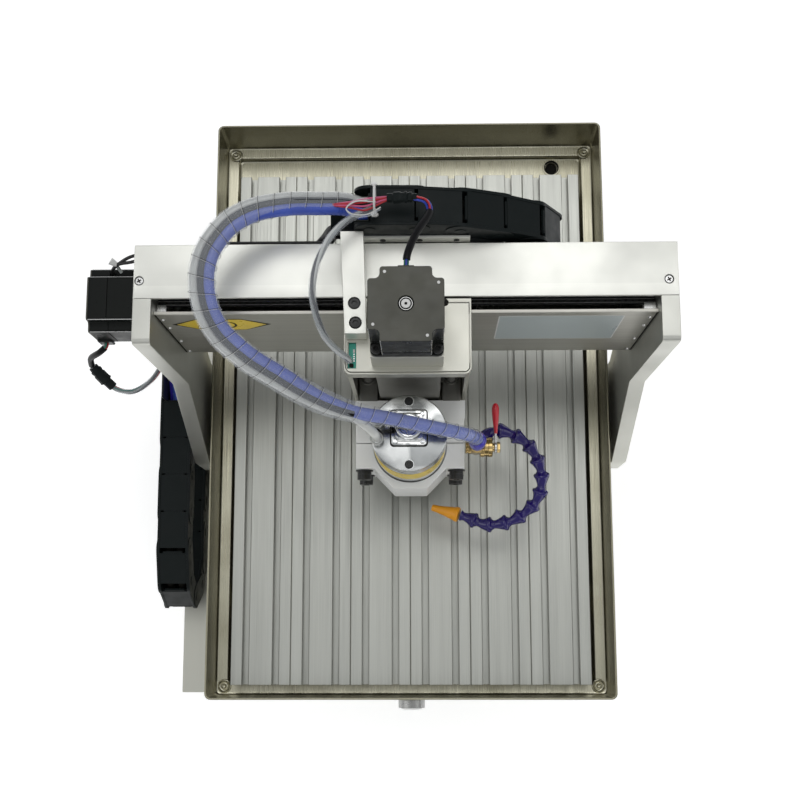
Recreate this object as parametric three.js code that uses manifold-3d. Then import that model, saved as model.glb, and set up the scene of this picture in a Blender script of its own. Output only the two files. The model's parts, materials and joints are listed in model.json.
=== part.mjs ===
// Desktop gantry router with a flood-coolant tray, a water-cooled spindle, two drag chains
// and a jointed coolant pipe. Millimetres, +Z up, +X to the operator's right, +Y to the back.
// All sizes below are measured from the centre of the table's top face. The last lines move
// the whole machine so that its origin is under the middle of its box, on the floor.

import * as THREE from "three";
import { mergeVertices } from "three/addons/utils/BufferGeometryUtils.js";
import Module from "manifold-3d";

const wasm = await Module();
wasm.setup();

// ---------------------------------------------------------------- driving dimensions

const GAP = 0.3; // clearance between pieces that touch
const ROUND = 24; // sides of a shaft or a bore
const FLOOR_Z = -140;

// T-slot table
const PLANK = { count: 6, pitch: 60, length: 530, thick: 15 };
const SLOT = { offset: 15, mouth: 6.5, mouthDeep: 4.5, wide: 11.5, deep: 9 };

// coolant tray, and the bearers that carry the table above its floor
const TRAY = { halfX: 200, frontY: -277.7, backY: 310.3, rimZ: 32, sheet: 2, cornerR: 6 };
const TRAY_LEDGE = { width: 10, topZ: -28 };
const TRAY_FLOOR_Z = -36;
const DRAIN = { x: 155, y: 286, r: 7.5 };
const BEARER = { halfX: 170, y: 180, halfWidth: 15 };

// base frame
const RAIL = { innerX: 175, outerX: 195, bottomZ: -125, topZ: -95, frontY: -270, backY: 300 };
const SHELF = { outerX: 248, bottomZ: -113, topZ: -110, backY: 150 };
const END_PLATE = { thick: 15, frontY: -268, backY: 240 };
const FOOT = { r: 15, x: 185, frontY: -235, backY: 265 };

// Y axis, under the tray
const Y_AXIS_Z = -85;
const Y_SHAFT = { x: 150, r: 10 };
const KNOB = { r: 14, frontY: -294, backY: -279.3 };
const Y_BEARING = { halfWidth: 22, frontY: -40, backY: 60, bottomZ: -106 };
const Y_NUT = { halfWidth: 22, frontY: -15, backY: 35, bottomZ: -107, boreR: 8.6 };

// gantry
const LEG = { innerX: 206.5, outerX: 221.5, bottomZ: -63, frontY: 17, backY: 100 };
const TOP_COVER = { frontY: 55, topZ: 292, thick: 4 };
const FRONT_COVER = { frontY: 44, thick: 3, bottomZ: 136, topZ: 280 };
const CROSS_PLATE = { frontY: -42, backY: 62, bottomZ: -63, topZ: -51 };
const X_SHAFT = { y: 70, r: 8, upperZ: 246, lowerZ: 150 };
const X_SCREW = { y: 73, z: 198, r: 8 };
const CHAIN_SHELF = { leftX: -182, rightX: 200, backY: 123, bottomZ: 214, topZ: 217 };

// carriage and Z axis, measured from the carriage's own centre line
const CARRIAGE_X = 2;
const CARRIER = { halfX: 48, backY: 86, bottomZ: 134, topZ: 262, footZ: 120 };
const HOUSING = { halfX: 51.5, frontY: -9, backY: 41, bottomZ: 92, topZ: 292, plate: 8, wall: 4 };
const Z_ROD = { x: 38, y: 17, r: 6 };
const Z_SCREW = { y: 26, r: 6 };
const Z_MOTOR_FACE_Z = 327;
const SPINDLE = { y: -47, r: 32.5, bottomZ: 27, topZ: 230 };
const VALVE_Z = 140;
const CLAMP = { halfX: 49, splitY: -44, bottomZ: 80, topZ: 150, boreR: 32.9 };

// NEMA 23 motor
const MOTOR = { half: 28.5, length: 56, flange: 5, notch: 9 };

// drag chains: one section, two loops
const CHAIN = { width: 34, height: 25 };
const X_CHAIN = { frontY: 104, topZ: 327 };
const Y_CHAIN = { leftX: -258, topZ: 3 };

// ---------------------------------------------------------------- materials

const finish = (color, roughness, metalness) => ({ color, roughness, metalness });
const BLASTED_ALUMINIUM = finish(0xd3d6d2, 0.45, 0.9);
const BRUSHED_ALUMINIUM = finish(0xaaaca5, 0.4, 0.9);
const STAINLESS = finish(0x8a8470, 0.35, 0.95);
const GROUND_STEEL = finish(0xc8c8c8, 0.2, 1.0);
const CHROME = finish(0xdedede, 0.08, 1.0);
const MOTOR_BLACK = finish(0x1c1c1b, 0.5, 0.3);
const CHAIN_BLACK = finish(0x151716, 0.55, 0.0);
const RUBBER = finish(0x1a1a1a, 0.9, 0.0);
const BLUE_HOSE = finish(0x4a5aa8, 0.3, 0.0);
const CABLE_BLACK = finish(0x202020, 0.5, 0.0);
const BRASS = finish(0xb9924e, 0.3, 1.0);
const LEVER_RED = finish(0xc01820, 0.35, 0.0);
const PIPE_PURPLE = finish(0x35208a, 0.4, 0.0);
const NOZZLE_ORANGE = finish(0xf0a020, 0.45, 0.0);

// ---------------------------------------------------------------- geometry helpers

function box(x0, x1, y0, y1, z0, z1) {
  const geometry = new THREE.BoxGeometry(x1 - x0, y1 - y0, z1 - z0);
  return geometry.translate((x0 + x1) / 2, (y0 + y1) / 2, (z0 + z1) / 2);
}

// Turns a shape drawn in XY and raised along Z so that it runs along another axis.
// Along x the shape's points are (y, z), along y they are (x, z).
function aim(geometry, axis) {
  if (axis === "y") {
    geometry.rotateX(Math.PI / 2);
  } else if (axis === "x") {
    geometry.rotateX(Math.PI / 2).rotateZ(Math.PI / 2);
  }
  return geometry;
}

// An outline swept straight along an axis, from one place to another.
function prism(axis, points, from, to) {
  const shape = new THREE.Shape(points.map(([u, v]) => new THREE.Vector2(u, v)));
  const settings = { depth: to - from, bevelEnabled: false, curveSegments: 6 };
  const geometry = aim(new THREE.ExtrudeGeometry(shape, settings), axis);
  const shift = new THREE.Vector3();
  shift[axis] = axis === "y" ? to : from;
  return geometry.translate(shift.x, shift.y, shift.z);
}

// A turned piece: steps is a list of [from, to, radius] along the axis.
function turned(axis, centre, steps, sides = ROUND) {
  const profile = [new THREE.Vector2(0, steps[0][0])];
  for (const [from, to, radius, endRadius = radius] of steps) {
    profile.push(new THREE.Vector2(radius, from), new THREE.Vector2(endRadius, to));
  }
  profile.push(new THREE.Vector2(0, steps.at(-1)[1]));
  const geometry = new THREE.LatheGeometry(profile, sides);
  if (axis === "z") {
    geometry.rotateX(Math.PI / 2);
  } else if (axis === "x") {
    geometry.rotateZ(-Math.PI / 2);
  }
  return geometry.translate(...centre);
}

// A round tube along a smooth curve through the given points.
function tube(points, radius, steps, sides = 8) {
  const places = points.map((p) => new THREE.Vector3(...p));
  const curve = new THREE.CatmullRomCurve3(places, false, "centripetal");
  const ring = [];
  for (let i = 0; i < sides; i += 1) {
    const angle = (2 * Math.PI * i) / sides;
    ring.push(new THREE.Vector2(radius * Math.cos(angle), radius * Math.sin(angle)));
  }
  const settings = { steps, bevelEnabled: false, extrudePath: curve };
  return new THREE.ExtrudeGeometry(new THREE.Shape(ring), settings);
}

function toSolid(geometry) {
  const bare = geometry.clone();
  bare.deleteAttribute("normal");
  bare.deleteAttribute("uv");
  const merged = mergeVertices(bare, 1e-4);
  const vertProperties = Float32Array.from(merged.attributes.position.array);
  const triVerts = Uint32Array.from(merged.index.array);
  return new wasm.Manifold(new wasm.Mesh({ numProp: 3, vertProperties, triVerts }));
}

// Joins the pieces of one solid and then cuts the holes from it.
function machined(pieces, holes = []) {
  let solid = toSolid(pieces[0]);
  for (const piece of pieces.slice(1)) {
    solid = solid.add(toSolid(piece));
  }
  for (const hole of holes) {
    solid = solid.subtract(toSolid(hole));
  }
  const mesh = solid.getMesh();
  const geometry = new THREE.BufferGeometry();
  geometry.setAttribute("position", new THREE.BufferAttribute(Float32Array.from(mesh.vertProperties), 3));
  geometry.setIndex(new THREE.BufferAttribute(Uint32Array.from(mesh.triVerts), 1));
  return geometry;
}

function add(group, name, geometry, look) {
  const mesh = new THREE.Mesh(geometry, new THREE.MeshStandardMaterial(look));
  mesh.name = name;
  group.add(mesh);
  return mesh;
}

function roundedRectangle(x0, x1, y0, y1, r) {
  const points = [];
  const corners = [[x1 - r, y0 + r, -90], [x1 - r, y1 - r, 0], [x0 + r, y1 - r, 90], [x0 + r, y0 + r, 180]];
  for (const [cx, cy, start] of corners) {
    for (let step = 0; step <= 3; step += 1) {
      const angle = THREE.MathUtils.degToRad(start + step * 30);
      points.push([cx + r * Math.cos(angle), cy + r * Math.sin(angle)]);
    }
  }
  return points;
}

// ---------------------------------------------------------------- base: feet, rails, end plates

function addBase(group) {
  for (const [side, sign] of [["left", -1], ["right", 1]]) {
    for (const [end, y] of [["front", FOOT.frontY], ["rear", FOOT.backY]]) {
      const foot = turned("z", [sign * FOOT.x, y, 0], [[FLOOR_Z, RAIL.bottomZ - GAP, FOOT.r]], 16);
      add(group, `foot_${end}_${side}`, foot, RUBBER);
    }
  }

  const bar = (sign) => {
    const [x0, x1] = sign > 0 ? [RAIL.innerX, RAIL.outerX] : [-RAIL.outerX, -RAIL.innerX];
    return box(x0, x1, RAIL.frontY, RAIL.backY, RAIL.bottomZ, RAIL.topZ);
  };
  const shelf = box(-SHELF.outerX, -RAIL.outerX + 1, TRAY.frontY, SHELF.backY, SHELF.bottomZ, SHELF.topZ);
  add(group, "base_rail_right", bar(1), BLASTED_ALUMINIUM);
  add(group, "base_rail_left_with_chain_shelf", machined([bar(-1), shelf]), BLASTED_ALUMINIUM);

  const plateX = RAIL.innerX - GAP;
  const plateTop = TRAY_FLOOR_Z - TRAY.sheet - GAP;
  for (const [name, y] of [["front_end_plate", END_PLATE.frontY], ["rear_end_plate", END_PLATE.backY]]) {
    const plate = box(-plateX, plateX, y, y + END_PLATE.thick, RAIL.bottomZ, plateTop);
    const bore = turned("y", [0, 0, Y_AXIS_Z], [[y - 1, y + END_PLATE.thick + 1, 7]]);
    add(group, name, machined([plate], [bore]), BLASTED_ALUMINIUM);
  }
}

// ---------------------------------------------------------------- tray and T-slot table

function addTray(group) {
  const outline = (inset, r) =>
    roundedRectangle(-TRAY.halfX + inset, TRAY.halfX - inset, TRAY.frontY + inset, TRAY.backY - inset, r);
  const bottom = TRAY_FLOOR_Z - TRAY.sheet;
  const blank = prism("z", outline(0, TRAY.cornerR), bottom, TRAY.rimZ);
  const upper = prism("z", outline(TRAY.sheet, TRAY.cornerR - TRAY.sheet), TRAY_LEDGE.topZ, TRAY.rimZ + 1);
  const lower = prism("z", outline(TRAY.sheet + TRAY_LEDGE.width, 3), TRAY_FLOOR_Z, TRAY_LEDGE.topZ + 1);
  const drain = turned("z", [DRAIN.x, DRAIN.y, 0], [[bottom - 1, TRAY_FLOOR_Z + 1, DRAIN.r]]);
  add(group, "coolant_tray", machined([blank], [upper, lower, drain]), STAINLESS);

  const { halfX, halfWidth } = BEARER;
  for (const [end, y] of [["front", -BEARER.y], ["rear", BEARER.y]]) {
    const bearer = box(-halfX, halfX, y - halfWidth, y + halfWidth, TRAY_FLOOR_Z + GAP, -PLANK.thick - GAP);
    add(group, `table_bearer_${end}`, bearer, BLASTED_ALUMINIUM);
  }
}

function plankOutline() {
  const half = PLANK.pitch / 2 - GAP / 2;
  const points = [[-half, -PLANK.thick], [half, -PLANK.thick], [half, 0]];
  for (const centre of [SLOT.offset, -SLOT.offset]) {
    points.push([centre + SLOT.mouth / 2, 0], [centre + SLOT.mouth / 2, -SLOT.mouthDeep]);
    points.push([centre + SLOT.wide / 2, -SLOT.mouthDeep], [centre + SLOT.wide / 2, -SLOT.deep]);
    points.push([centre - SLOT.wide / 2, -SLOT.deep], [centre - SLOT.wide / 2, -SLOT.mouthDeep]);
    points.push([centre - SLOT.mouth / 2, -SLOT.mouthDeep], [centre - SLOT.mouth / 2, 0]);
  }
  points.push([-half, 0]);
  return points;
}

function addTable(group) {
  for (let i = 0; i < PLANK.count; i += 1) {
    const plank = prism("y", plankOutline(), -PLANK.length / 2, PLANK.length / 2);
    const mesh = add(group, `table_plank_${i + 1}`, plank, BRUSHED_ALUMINIUM);
    mesh.position.x = (i - (PLANK.count - 1) / 2) * PLANK.pitch;
  }
}

// ---------------------------------------------------------------- motors

function motorGeometry() {
  const { half, length, flange, notch } = MOTOR;
  const inner = half - notch;
  const chamfer = 2.5;
  const outline = [];
  for (let corner = 0; corner < 4; corner += 1) {
    const turn = (u, v) => [[u, v], [-v, u], [-u, -v], [v, -u]][corner];
    outline.push(turn(half, inner - chamfer), turn(half - chamfer, inner), turn(inner, inner));
    outline.push(turn(inner, half - chamfer), turn(inner - chamfer, half));
  }
  const body = prism("z", outline, flange - 0.5, length);
  return machined([box(-half, half, -half, half, 0, flange), body]);
}

// ---------------------------------------------------------------- Y axis

function addYAxis(group) {
  const frontInner = END_PLATE.frontY + END_PLATE.thick + GAP;
  const rearInner = END_PLATE.backY - GAP;
  for (const [side, sign] of [["left", -1], ["right", 1]]) {
    const shaft = turned("y", [sign * Y_SHAFT.x, 0, Y_AXIS_Z], [[frontInner, rearInner, Y_SHAFT.r]]);
    add(group, `y_guide_shaft_${side}`, shaft, GROUND_STEEL);
  }
  const screwSteps = [
    [KNOB.backY + GAP, frontInner, 6],
    [frontInner, rearInner, 8],
    [rearInner, END_PLATE.backY + END_PLATE.thick - GAP, 5],
  ];
  add(group, "y_ball_screw", turned("y", [0, 0, Y_AXIS_Z], screwSteps), GROUND_STEEL);
  const knob = turned("y", [0, 0, Y_AXIS_Z], [[KNOB.frontY, KNOB.backY, KNOB.r]], 32);
  add(group, "hand_knob", knob, GROUND_STEEL);

  const motor = motorGeometry().rotateX(-Math.PI / 2);
  motor.translate(0, END_PLATE.backY + END_PLATE.thick + GAP, Y_AXIS_Z);
  add(group, "y_motor", motor, MOTOR_BLACK);
}

// ---------------------------------------------------------------- gantry frame

function legOutline() {
  const { frontY, backY, bottomZ } = LEG;
  const top = TOP_COVER.topZ;
  const seat = top - TOP_COVER.thick - GAP;
  const points = [[-42, bottomZ], [62, bottomZ], [62, 0], [backY, 120], [backY, seat]];
  points.push([TOP_COVER.frontY - GAP, seat], [TOP_COVER.frontY - GAP, top]);
  const r = 5;
  for (let step = 0; step <= 4; step += 1) {
    const angle = THREE.MathUtils.degToRad(90 + step * 22.5);
    points.push([frontY + r + r * Math.cos(angle), top - r + r * Math.sin(angle)]);
  }
  points.push([frontY, 120], [-42, -6]);
  return points;
}

function addGantryFrame(group) {
  const shaftHole = turned("x", [0, X_SCREW.y, X_SCREW.z], [[-LEG.outerX - 1, -LEG.innerX + 1, 9]]);
  const leftLeg = prism("x", legOutline(), -LEG.outerX, -LEG.innerX);
  add(group, "gantry_leg_left", machined([leftLeg], [shaftHole]), BLASTED_ALUMINIUM);
  add(group, "gantry_leg_right", prism("x", legOutline(), LEG.innerX, LEG.outerX), BLASTED_ALUMINIUM);

  const halfX = LEG.innerX - GAP;
  const { frontY, backY, bottomZ, topZ } = CROSS_PLATE;
  const plate = box(-halfX, halfX, frontY, backY, bottomZ, topZ);
  const nut = Y_NUT;
  const nutHousing = box(-nut.halfWidth, nut.halfWidth, nut.frontY, nut.backY, nut.bottomZ, bottomZ + 1);
  const nutBore = turned("y", [0, 0, Y_AXIS_Z], [[nut.frontY - 1, nut.backY + 1, nut.boreR]]);
  add(group, "gantry_cross_plate_with_nut", machined([plate, nutHousing], [nutBore]), BLASTED_ALUMINIUM);

  for (const [side, sign] of [["left", -1], ["right", 1]]) {
    const x = sign * Y_SHAFT.x;
    const { halfWidth, frontY: y0, backY: y1, bottomZ: z0 } = Y_BEARING;
    const block = box(x - halfWidth, x + halfWidth, y0, y1, z0, bottomZ - GAP);
    const bore = turned("y", [x, 0, Y_AXIS_Z], [[y0 - 1, y1 + 1, Y_SHAFT.r + 0.35]]);
    add(group, `y_bearing_block_${side}`, machined([block], [bore]), BLASTED_ALUMINIUM);
  }

  const coverBottom = TOP_COVER.topZ - TOP_COVER.thick;
  const cover = box(-LEG.outerX, LEG.outerX, TOP_COVER.frontY, LEG.backY, coverBottom, TOP_COVER.topZ);
  add(group, "beam_top_cover", cover, BLASTED_ALUMINIUM);
  const backWall = box(-halfX, halfX, LEG.backY - 4, LEG.backY - GAP, 140, coverBottom - GAP);
  const { leftX, rightX, backY: shelfBack, bottomZ: shelfLow, topZ: shelfTop } = CHAIN_SHELF;
  const chainShelf = box(leftX, rightX, LEG.backY - 1, shelfBack, shelfLow, shelfTop);
  add(group, "beam_back_plate_with_chain_shelf", machined([backWall, chainShelf]), CHAIN_BLACK);
  const { frontY: faceY, thick, bottomZ: low, topZ: high } = FRONT_COVER;
  add(group, "beam_front_cover", box(-halfX, halfX, faceY, faceY + thick, low, high), BLASTED_ALUMINIUM);
}

function addXAxis(group) {
  const halfX = LEG.innerX - GAP;
  for (const [place, z] of [["upper", X_SHAFT.upperZ], ["lower", X_SHAFT.lowerZ]]) {
    const shaft = turned("x", [0, X_SHAFT.y, z], [[-halfX, halfX, X_SHAFT.r]]);
    add(group, `x_guide_shaft_${place}`, shaft, GROUND_STEEL);
  }
  const screwSteps = [[-LEG.outerX + GAP, -halfX, 5], [-halfX, halfX, X_SCREW.r]];
  add(group, "x_ball_screw", turned("x", [0, X_SCREW.y, X_SCREW.z], screwSteps), GROUND_STEEL);

  const motor = motorGeometry().rotateY(-Math.PI / 2);
  motor.translate(-LEG.outerX - GAP, X_SCREW.y, X_SCREW.z);
  add(group, "x_motor", motor, MOTOR_BLACK);
}

// The blue hose and cables climb from the side chain's end, behind the left leg, and run under
// the shelf to the beam's chain. The X motor's lead, with its plug, joins them behind the leg.
function addGantryWiring(group) {
  const riser = tube([
    [-241, 22.4, -9.5], [-241, 28, -9.5], [-241, 38, -5], [-241, 54, 6], [-240, 76, 26],
    [-233, 98, 60], [-223, 112, 100], [-213, 116, 148], [-204, 115, 185], [-190, 113.5, 201],
    [-165, 113.5, 204.5], [-110, 113.5, 204.5], [-92, 114, 204.5], [-80, 121, 204],
    [-71, 129, 207], [-66.5, 132, 215], [-63.5, 132, 223], [-57.5, 130, 229.5],
    [-51, 129, 231], [-46.2, 129, 231],
  ], 6.5, 72, 10);
  const lead = tube([
    [-270, 43.8, 182], [-270, 40.5, 182], [-276, 36, 178], [-289, 34, 160], [-293, 31, 143],
    [-285, 22, 132], [-274, 12, 124], [-260, 10, 120], [-245, 19, 118], [-236, 34, 112],
    [-232, 62, 100], [-228, 92, 86], [-227, 110, 92],
  ], 3.5, 60, 8);
  const plug = tube([[-292, 29, 139], [-277, 14, 126]], 6.5, 1, 8);
  add(group, "gantry_wiring", machined([riser, lead, plug]), BLUE_HOSE);
}

// ---------------------------------------------------------------- drag chains

// Each chain is a straight upper run, a bend in two halves and a straight lower run.
// An outline is drawn in the plane of travel and given the chain's width.
function addChain(group, name, axis, from, outlines) {
  for (const [piece, outline] of Object.entries(outlines)) {
    add(group, `${name}_${piece}`, prism(axis, outline, from, from + CHAIN.width), CHAIN_BLACK);
  }
}

function addXChain(group) {
  const top = X_CHAIN.topZ;
  const shelf = CHAIN_SHELF.topZ + 0.6;
  addChain(group, "x_chain", "y", X_CHAIN.frontY, {
    upper_run: [
      [-60, 300], [5, 300], [45, top - 7 - CHAIN.height], [45, top - 7], [5, top],
      [-28, top], [-28, 306.5], [-60, 306.5],
    ],
    bend_upper: [
      [45.3, 320], [45.3, 295], [62, 288], [82, 277], [98, 265], [104, 255], [109, 246],
      [134, 246], [132, 253], [119, 275], [111, 288], [90, 299], [69, 311],
    ],
    bend_lower: [
      [109, 245.7], [107, 244], [100, shelf + CHAIN.height], [85, shelf + CHAIN.height],
      [85, shelf], [108, shelf], [124, 222], [134, 238], [134, 245.7],
    ],
    lower_run: [
      [-45.6, shelf], [84.7, shelf], [84.7, shelf + CHAIN.height], [-45.6, shelf + CHAIN.height],
    ],
  });
}

function addYChain(group) {
  const top = Y_CHAIN.topZ;
  const shelf = SHELF.topZ + 0.5;
  addChain(group, "y_chain", "x", Y_CHAIN.leftX, {
    upper_run: [[-130, top - CHAIN.height], [22, top - CHAIN.height], [22, top], [-130, top]],
    bend_upper: [
      [-130.3, top], [-168, -10], [-188, -42], [-189, -53],
      [-164, -53], [-163, -44], [-155, -31], [-130.3, top - CHAIN.height],
    ],
    bend_lower: [
      [-189, -53.3], [-186, -70], [-170, -98], [-140, shelf],
      [-140, shelf + CHAIN.height], [-155, -78], [-163, -65], [-164, -53.3],
    ],
    lower_run: [
      [-139.7, shelf], [30, shelf], [30, shelf + CHAIN.height], [-139.7, shelf + CHAIN.height],
    ],
  });
}

// ---------------------------------------------------------------- carriage

function addCarriage(group) {
  const coverInner = FRONT_COVER.frontY + FRONT_COVER.thick + 1.5;
  const neckBack = TOP_COVER.frontY - 1.5;
  const housingPlateBottom = HOUSING.topZ - HOUSING.plate;
  const { halfX, backY, bottomZ, topZ, footZ } = CARRIER;
  const block = box(-halfX, halfX, coverInner, backY, bottomZ, topZ);
  const neck = box(-halfX, halfX, coverInner, neckBack, topZ - 1, housingPlateBottom - GAP);
  const foot = box(-halfX, halfX, HOUSING.backY + GAP, backY, footZ, bottomZ + 1);
  const bore = (y, z, r) => turned("x", [0, y, z], [[-halfX - 1, halfX + 1, r]]);
  const bores = [
    bore(X_SHAFT.y, X_SHAFT.upperZ, X_SHAFT.r + 0.35),
    bore(X_SHAFT.y, X_SHAFT.lowerZ, X_SHAFT.r + 0.35),
    bore(X_SCREW.y, X_SCREW.z, X_SCREW.r + 0.6),
  ];
  add(group, "x_bearing_carrier", machined([block, neck, foot], bores), BLASTED_ALUMINIUM);

  addHousing(group, neckBack);

  for (const [side, sign] of [["left", -1], ["right", 1]]) {
    const steps = [[HOUSING.bottomZ + HOUSING.plate + GAP, housingPlateBottom - GAP, Z_ROD.r]];
    add(group, `z_guide_rod_${side}`, turned("z", [sign * Z_ROD.x, Z_ROD.y, 0], steps), GROUND_STEEL);
  }
  const coupling = { bottomZ: 296, topZ: 326.4, r: 9 };
  const screwSteps = [
    [93, 100, 5],
    [100, 283, Z_SCREW.r],
    [283, coupling.bottomZ, 5],
    [coupling.bottomZ, coupling.topZ, coupling.r],
  ];
  add(group, "z_ball_screw", turned("z", [0, Z_SCREW.y, 0], screwSteps), GROUND_STEEL);

  const motor = motorGeometry().translate(0, Z_SCREW.y, Z_MOTOR_FACE_Z);
  add(group, "z_motor", motor, MOTOR_BLACK);

  const arm = prism("z", [[-49.5, 19.5], [-32, 19.5], [-35, 103.5], [-53.5, 103.5]], 309, 314);
  const armBase = box(-49.5, -32.5, 19.5, 36, HOUSING.topZ + GAP, 310);
  const chainPlate = box(-53.5, -35, 100.6, 103.5, 289, 310);
  const chainStrip = box(-53.5, 51, 101.5, 103.5, 289, 301);
  add(group, "chain_bracket_arm", machined([arm, armBase, chainPlate, chainStrip]), BLASTED_ALUMINIUM);
}

// One machined and folded housing: top plate with a front lip, back, sides, bottom bearing
// plate, a cover in front of the ball screw and the motor's stand.
function addHousing(group, topPlateBack) {
  const { halfX, frontY, backY, bottomZ, topZ, plate, wall } = HOUSING;
  const pieces = [
    box(-halfX, halfX, frontY, topPlateBack, topZ - plate, topZ),
    box(-halfX, halfX, frontY, frontY + 3, topZ - 14, topZ - 1),
    box(-halfX, halfX, backY - 5, backY, bottomZ, topZ - 1),
    box(-halfX, halfX, -3, backY - 1, bottomZ, bottomZ + plate),
    box(-27, 27, -3, -1, bottomZ + 1, topZ - 1),
    box(-MOTOR.half, MOTOR.half, Z_SCREW.y - MOTOR.half, topPlateBack, topZ - 1, Z_MOTOR_FACE_Z - GAP),
  ];
  for (const sign of [-1, 1]) {
    const [x0, x1] = sign > 0 ? [halfX - wall, halfX] : [-halfX, -halfX + wall];
    pieces.push(box(x0, x1, 0, backY - 1, 110, topZ - 1));
  }
  const holes = [
    turned("z", [0, Z_SCREW.y, 0], [[topZ, 330, 14]]),
    turned("z", [0, Z_SCREW.y, 0], [[topZ - plate - 1, topZ + 1, 7.5]]),
    turned("z", [0, Z_SCREW.y, 0], [[bottomZ - 1, bottomZ + plate + 1, 5.6]]),
    box(-50.5, -41.5, -4, 17, 276, topZ + 1),
  ];
  add(group, "z_housing", machined(pieces, holes), BLASTED_ALUMINIUM);
}

// The Z motor's lead and the limit-switch cable are tied together on top of the chain.
function addCarriageWiring(group) {
  const motorLead = tube([
    [0, 55, 372], [1, 66, 372], [8, 86, 364], [18, 107, 351], [15, 117, 345.5], [4, 120.5, 345],
    [-8, 120.5, 345], [-20, 120, 342], [-34, 116, 338],
  ], 3, 44, 8);
  const plug = tube([[9, 120.5, 345], [-9, 120.5, 345]], 6, 1, 8);
  const switchCable = tube([
    [-27, 114, 337], [-36, 110, 338], [-48, 103, 338.5], [-61, 88, 340], [-70, 68.6, 338],
    [-73.5, 49.7, 334], [-71.5, 34, 327], [-66, 19, 317], [-57, 9, 306], [-48, 3, 298], [-46, 2, 286],
  ], 3.2, 50, 8);
  add(group, "carriage_wiring", machined([motorLead, plug, switchCable]), CABLE_BLACK);

  const bundle = tube([
    [-31, 121, 317], [-36, 121, 317], [-49.2, 123, 322], [-70, 121, 330], [-95.2, 117.9, 338],
    [-119.4, 111.8, 342], [-136.3, 101.8, 344.5], [-147.6, 88.2, 346], [-154.9, 73.9, 346.5],
    [-157.8, 55.2, 345], [-154.7, 34.1, 340.5], [-145.8, 16.9, 334], [-126.3, -0.6, 323],
    [-105.5, -12.5, 311], [-83.7, -24.1, 299], [-62.5, -32.5, 287], [-41.6, -37.6, 277],
    [-19, -39.9, 268], [7.9, -44.2, 260], [30.2, -47.4, 249], [47, -48.3, 231], [56, -47.6, 208],
    [60, -46.8, 188], [60, -46.8, 168.6],
  ], 9.5, 60, 10);
  add(group, "spindle_hose_bundle", bundle, BLUE_HOSE);
}

// ---------------------------------------------------------------- Z slide, spindle and coolant

function addZSlide(group) {
  const { halfX, splitY, bottomZ, topZ, boreR } = CLAMP;
  const spindleBore = turned("z", [0, SPINDLE.y, 0], [[bottomZ - 1, topZ + 1, boreR]], 40);
  const pieces = [
    box(-46, 46, 12, 34, 106, topZ),
    box(-46, -29.5, -6, 13, 106, topZ),
    box(29.5, 46, -6, 13, 106, topZ),
    box(-halfX - 1, halfX + 1, -22, -5, bottomZ, topZ),
    box(-halfX, halfX, splitY, -21, bottomZ, topZ),
  ];
  const holes = [
    spindleBore,
    turned("z", [0, Z_SCREW.y, 0], [[105, topZ + 1, Z_SCREW.r + 0.5]]),
    turned("z", [Z_ROD.x, Z_ROD.y, 0], [[105, topZ + 1, Z_ROD.r + 0.35]]),
    turned("z", [-Z_ROD.x, Z_ROD.y, 0], [[105, topZ + 1, Z_ROD.r + 0.35]]),
  ];
  add(group, "z_slide_saddle", machined(pieces, holes), BLASTED_ALUMINIUM);

  const capOutline = [
    [halfX, splitY - 0.6], [-halfX, splitY - 0.6], [-halfX, -67], [-33, -67],
    [-15, -85.5], [15, -85.5], [33, -67], [halfX, -67],
  ];
  const cap = prism("z", capOutline, bottomZ, topZ);
  add(group, "spindle_clamp_cap", machined([cap], [spindleBore]), BLASTED_ALUMINIUM);
}

function addSpindle(group) {
  const { y, r, bottomZ, topZ } = SPINDLE;
  const can = turned("z", [0, y, 0], [
    [bottomZ - 7, bottomZ, 17], [bottomZ, bottomZ + 2, r - 2, r], [bottomZ + 2, topZ - 14, r],
    [topZ - 14, topZ - 12, r - 1.5], [topZ - 12, topZ, r],
  ], 40);
  const plugFlange = box(-15, 15, -58, -28, topZ - 1, topZ + 6);
  const plugSocket = turned("z", [0, -43, 0], [[topZ + 5, topZ + 15, 10]]);
  const port = (x, portY) => turned("z", [x, portY, 0], [[topZ - 1, topZ + 11, 4]], 12);
  const pieces = [can, plugFlange, plugSocket, port(-27, -53), port(-26, -38)];
  add(group, "spindle_body", machined(pieces), CHROME);

  const nut = turned("z", [0, y, 0], [[5, 7, 8, 9.5], [7, bottomZ - 7 - GAP, 9.5]], 12);
  add(group, "collet_nut", nut, GROUND_STEEL);
}

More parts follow.
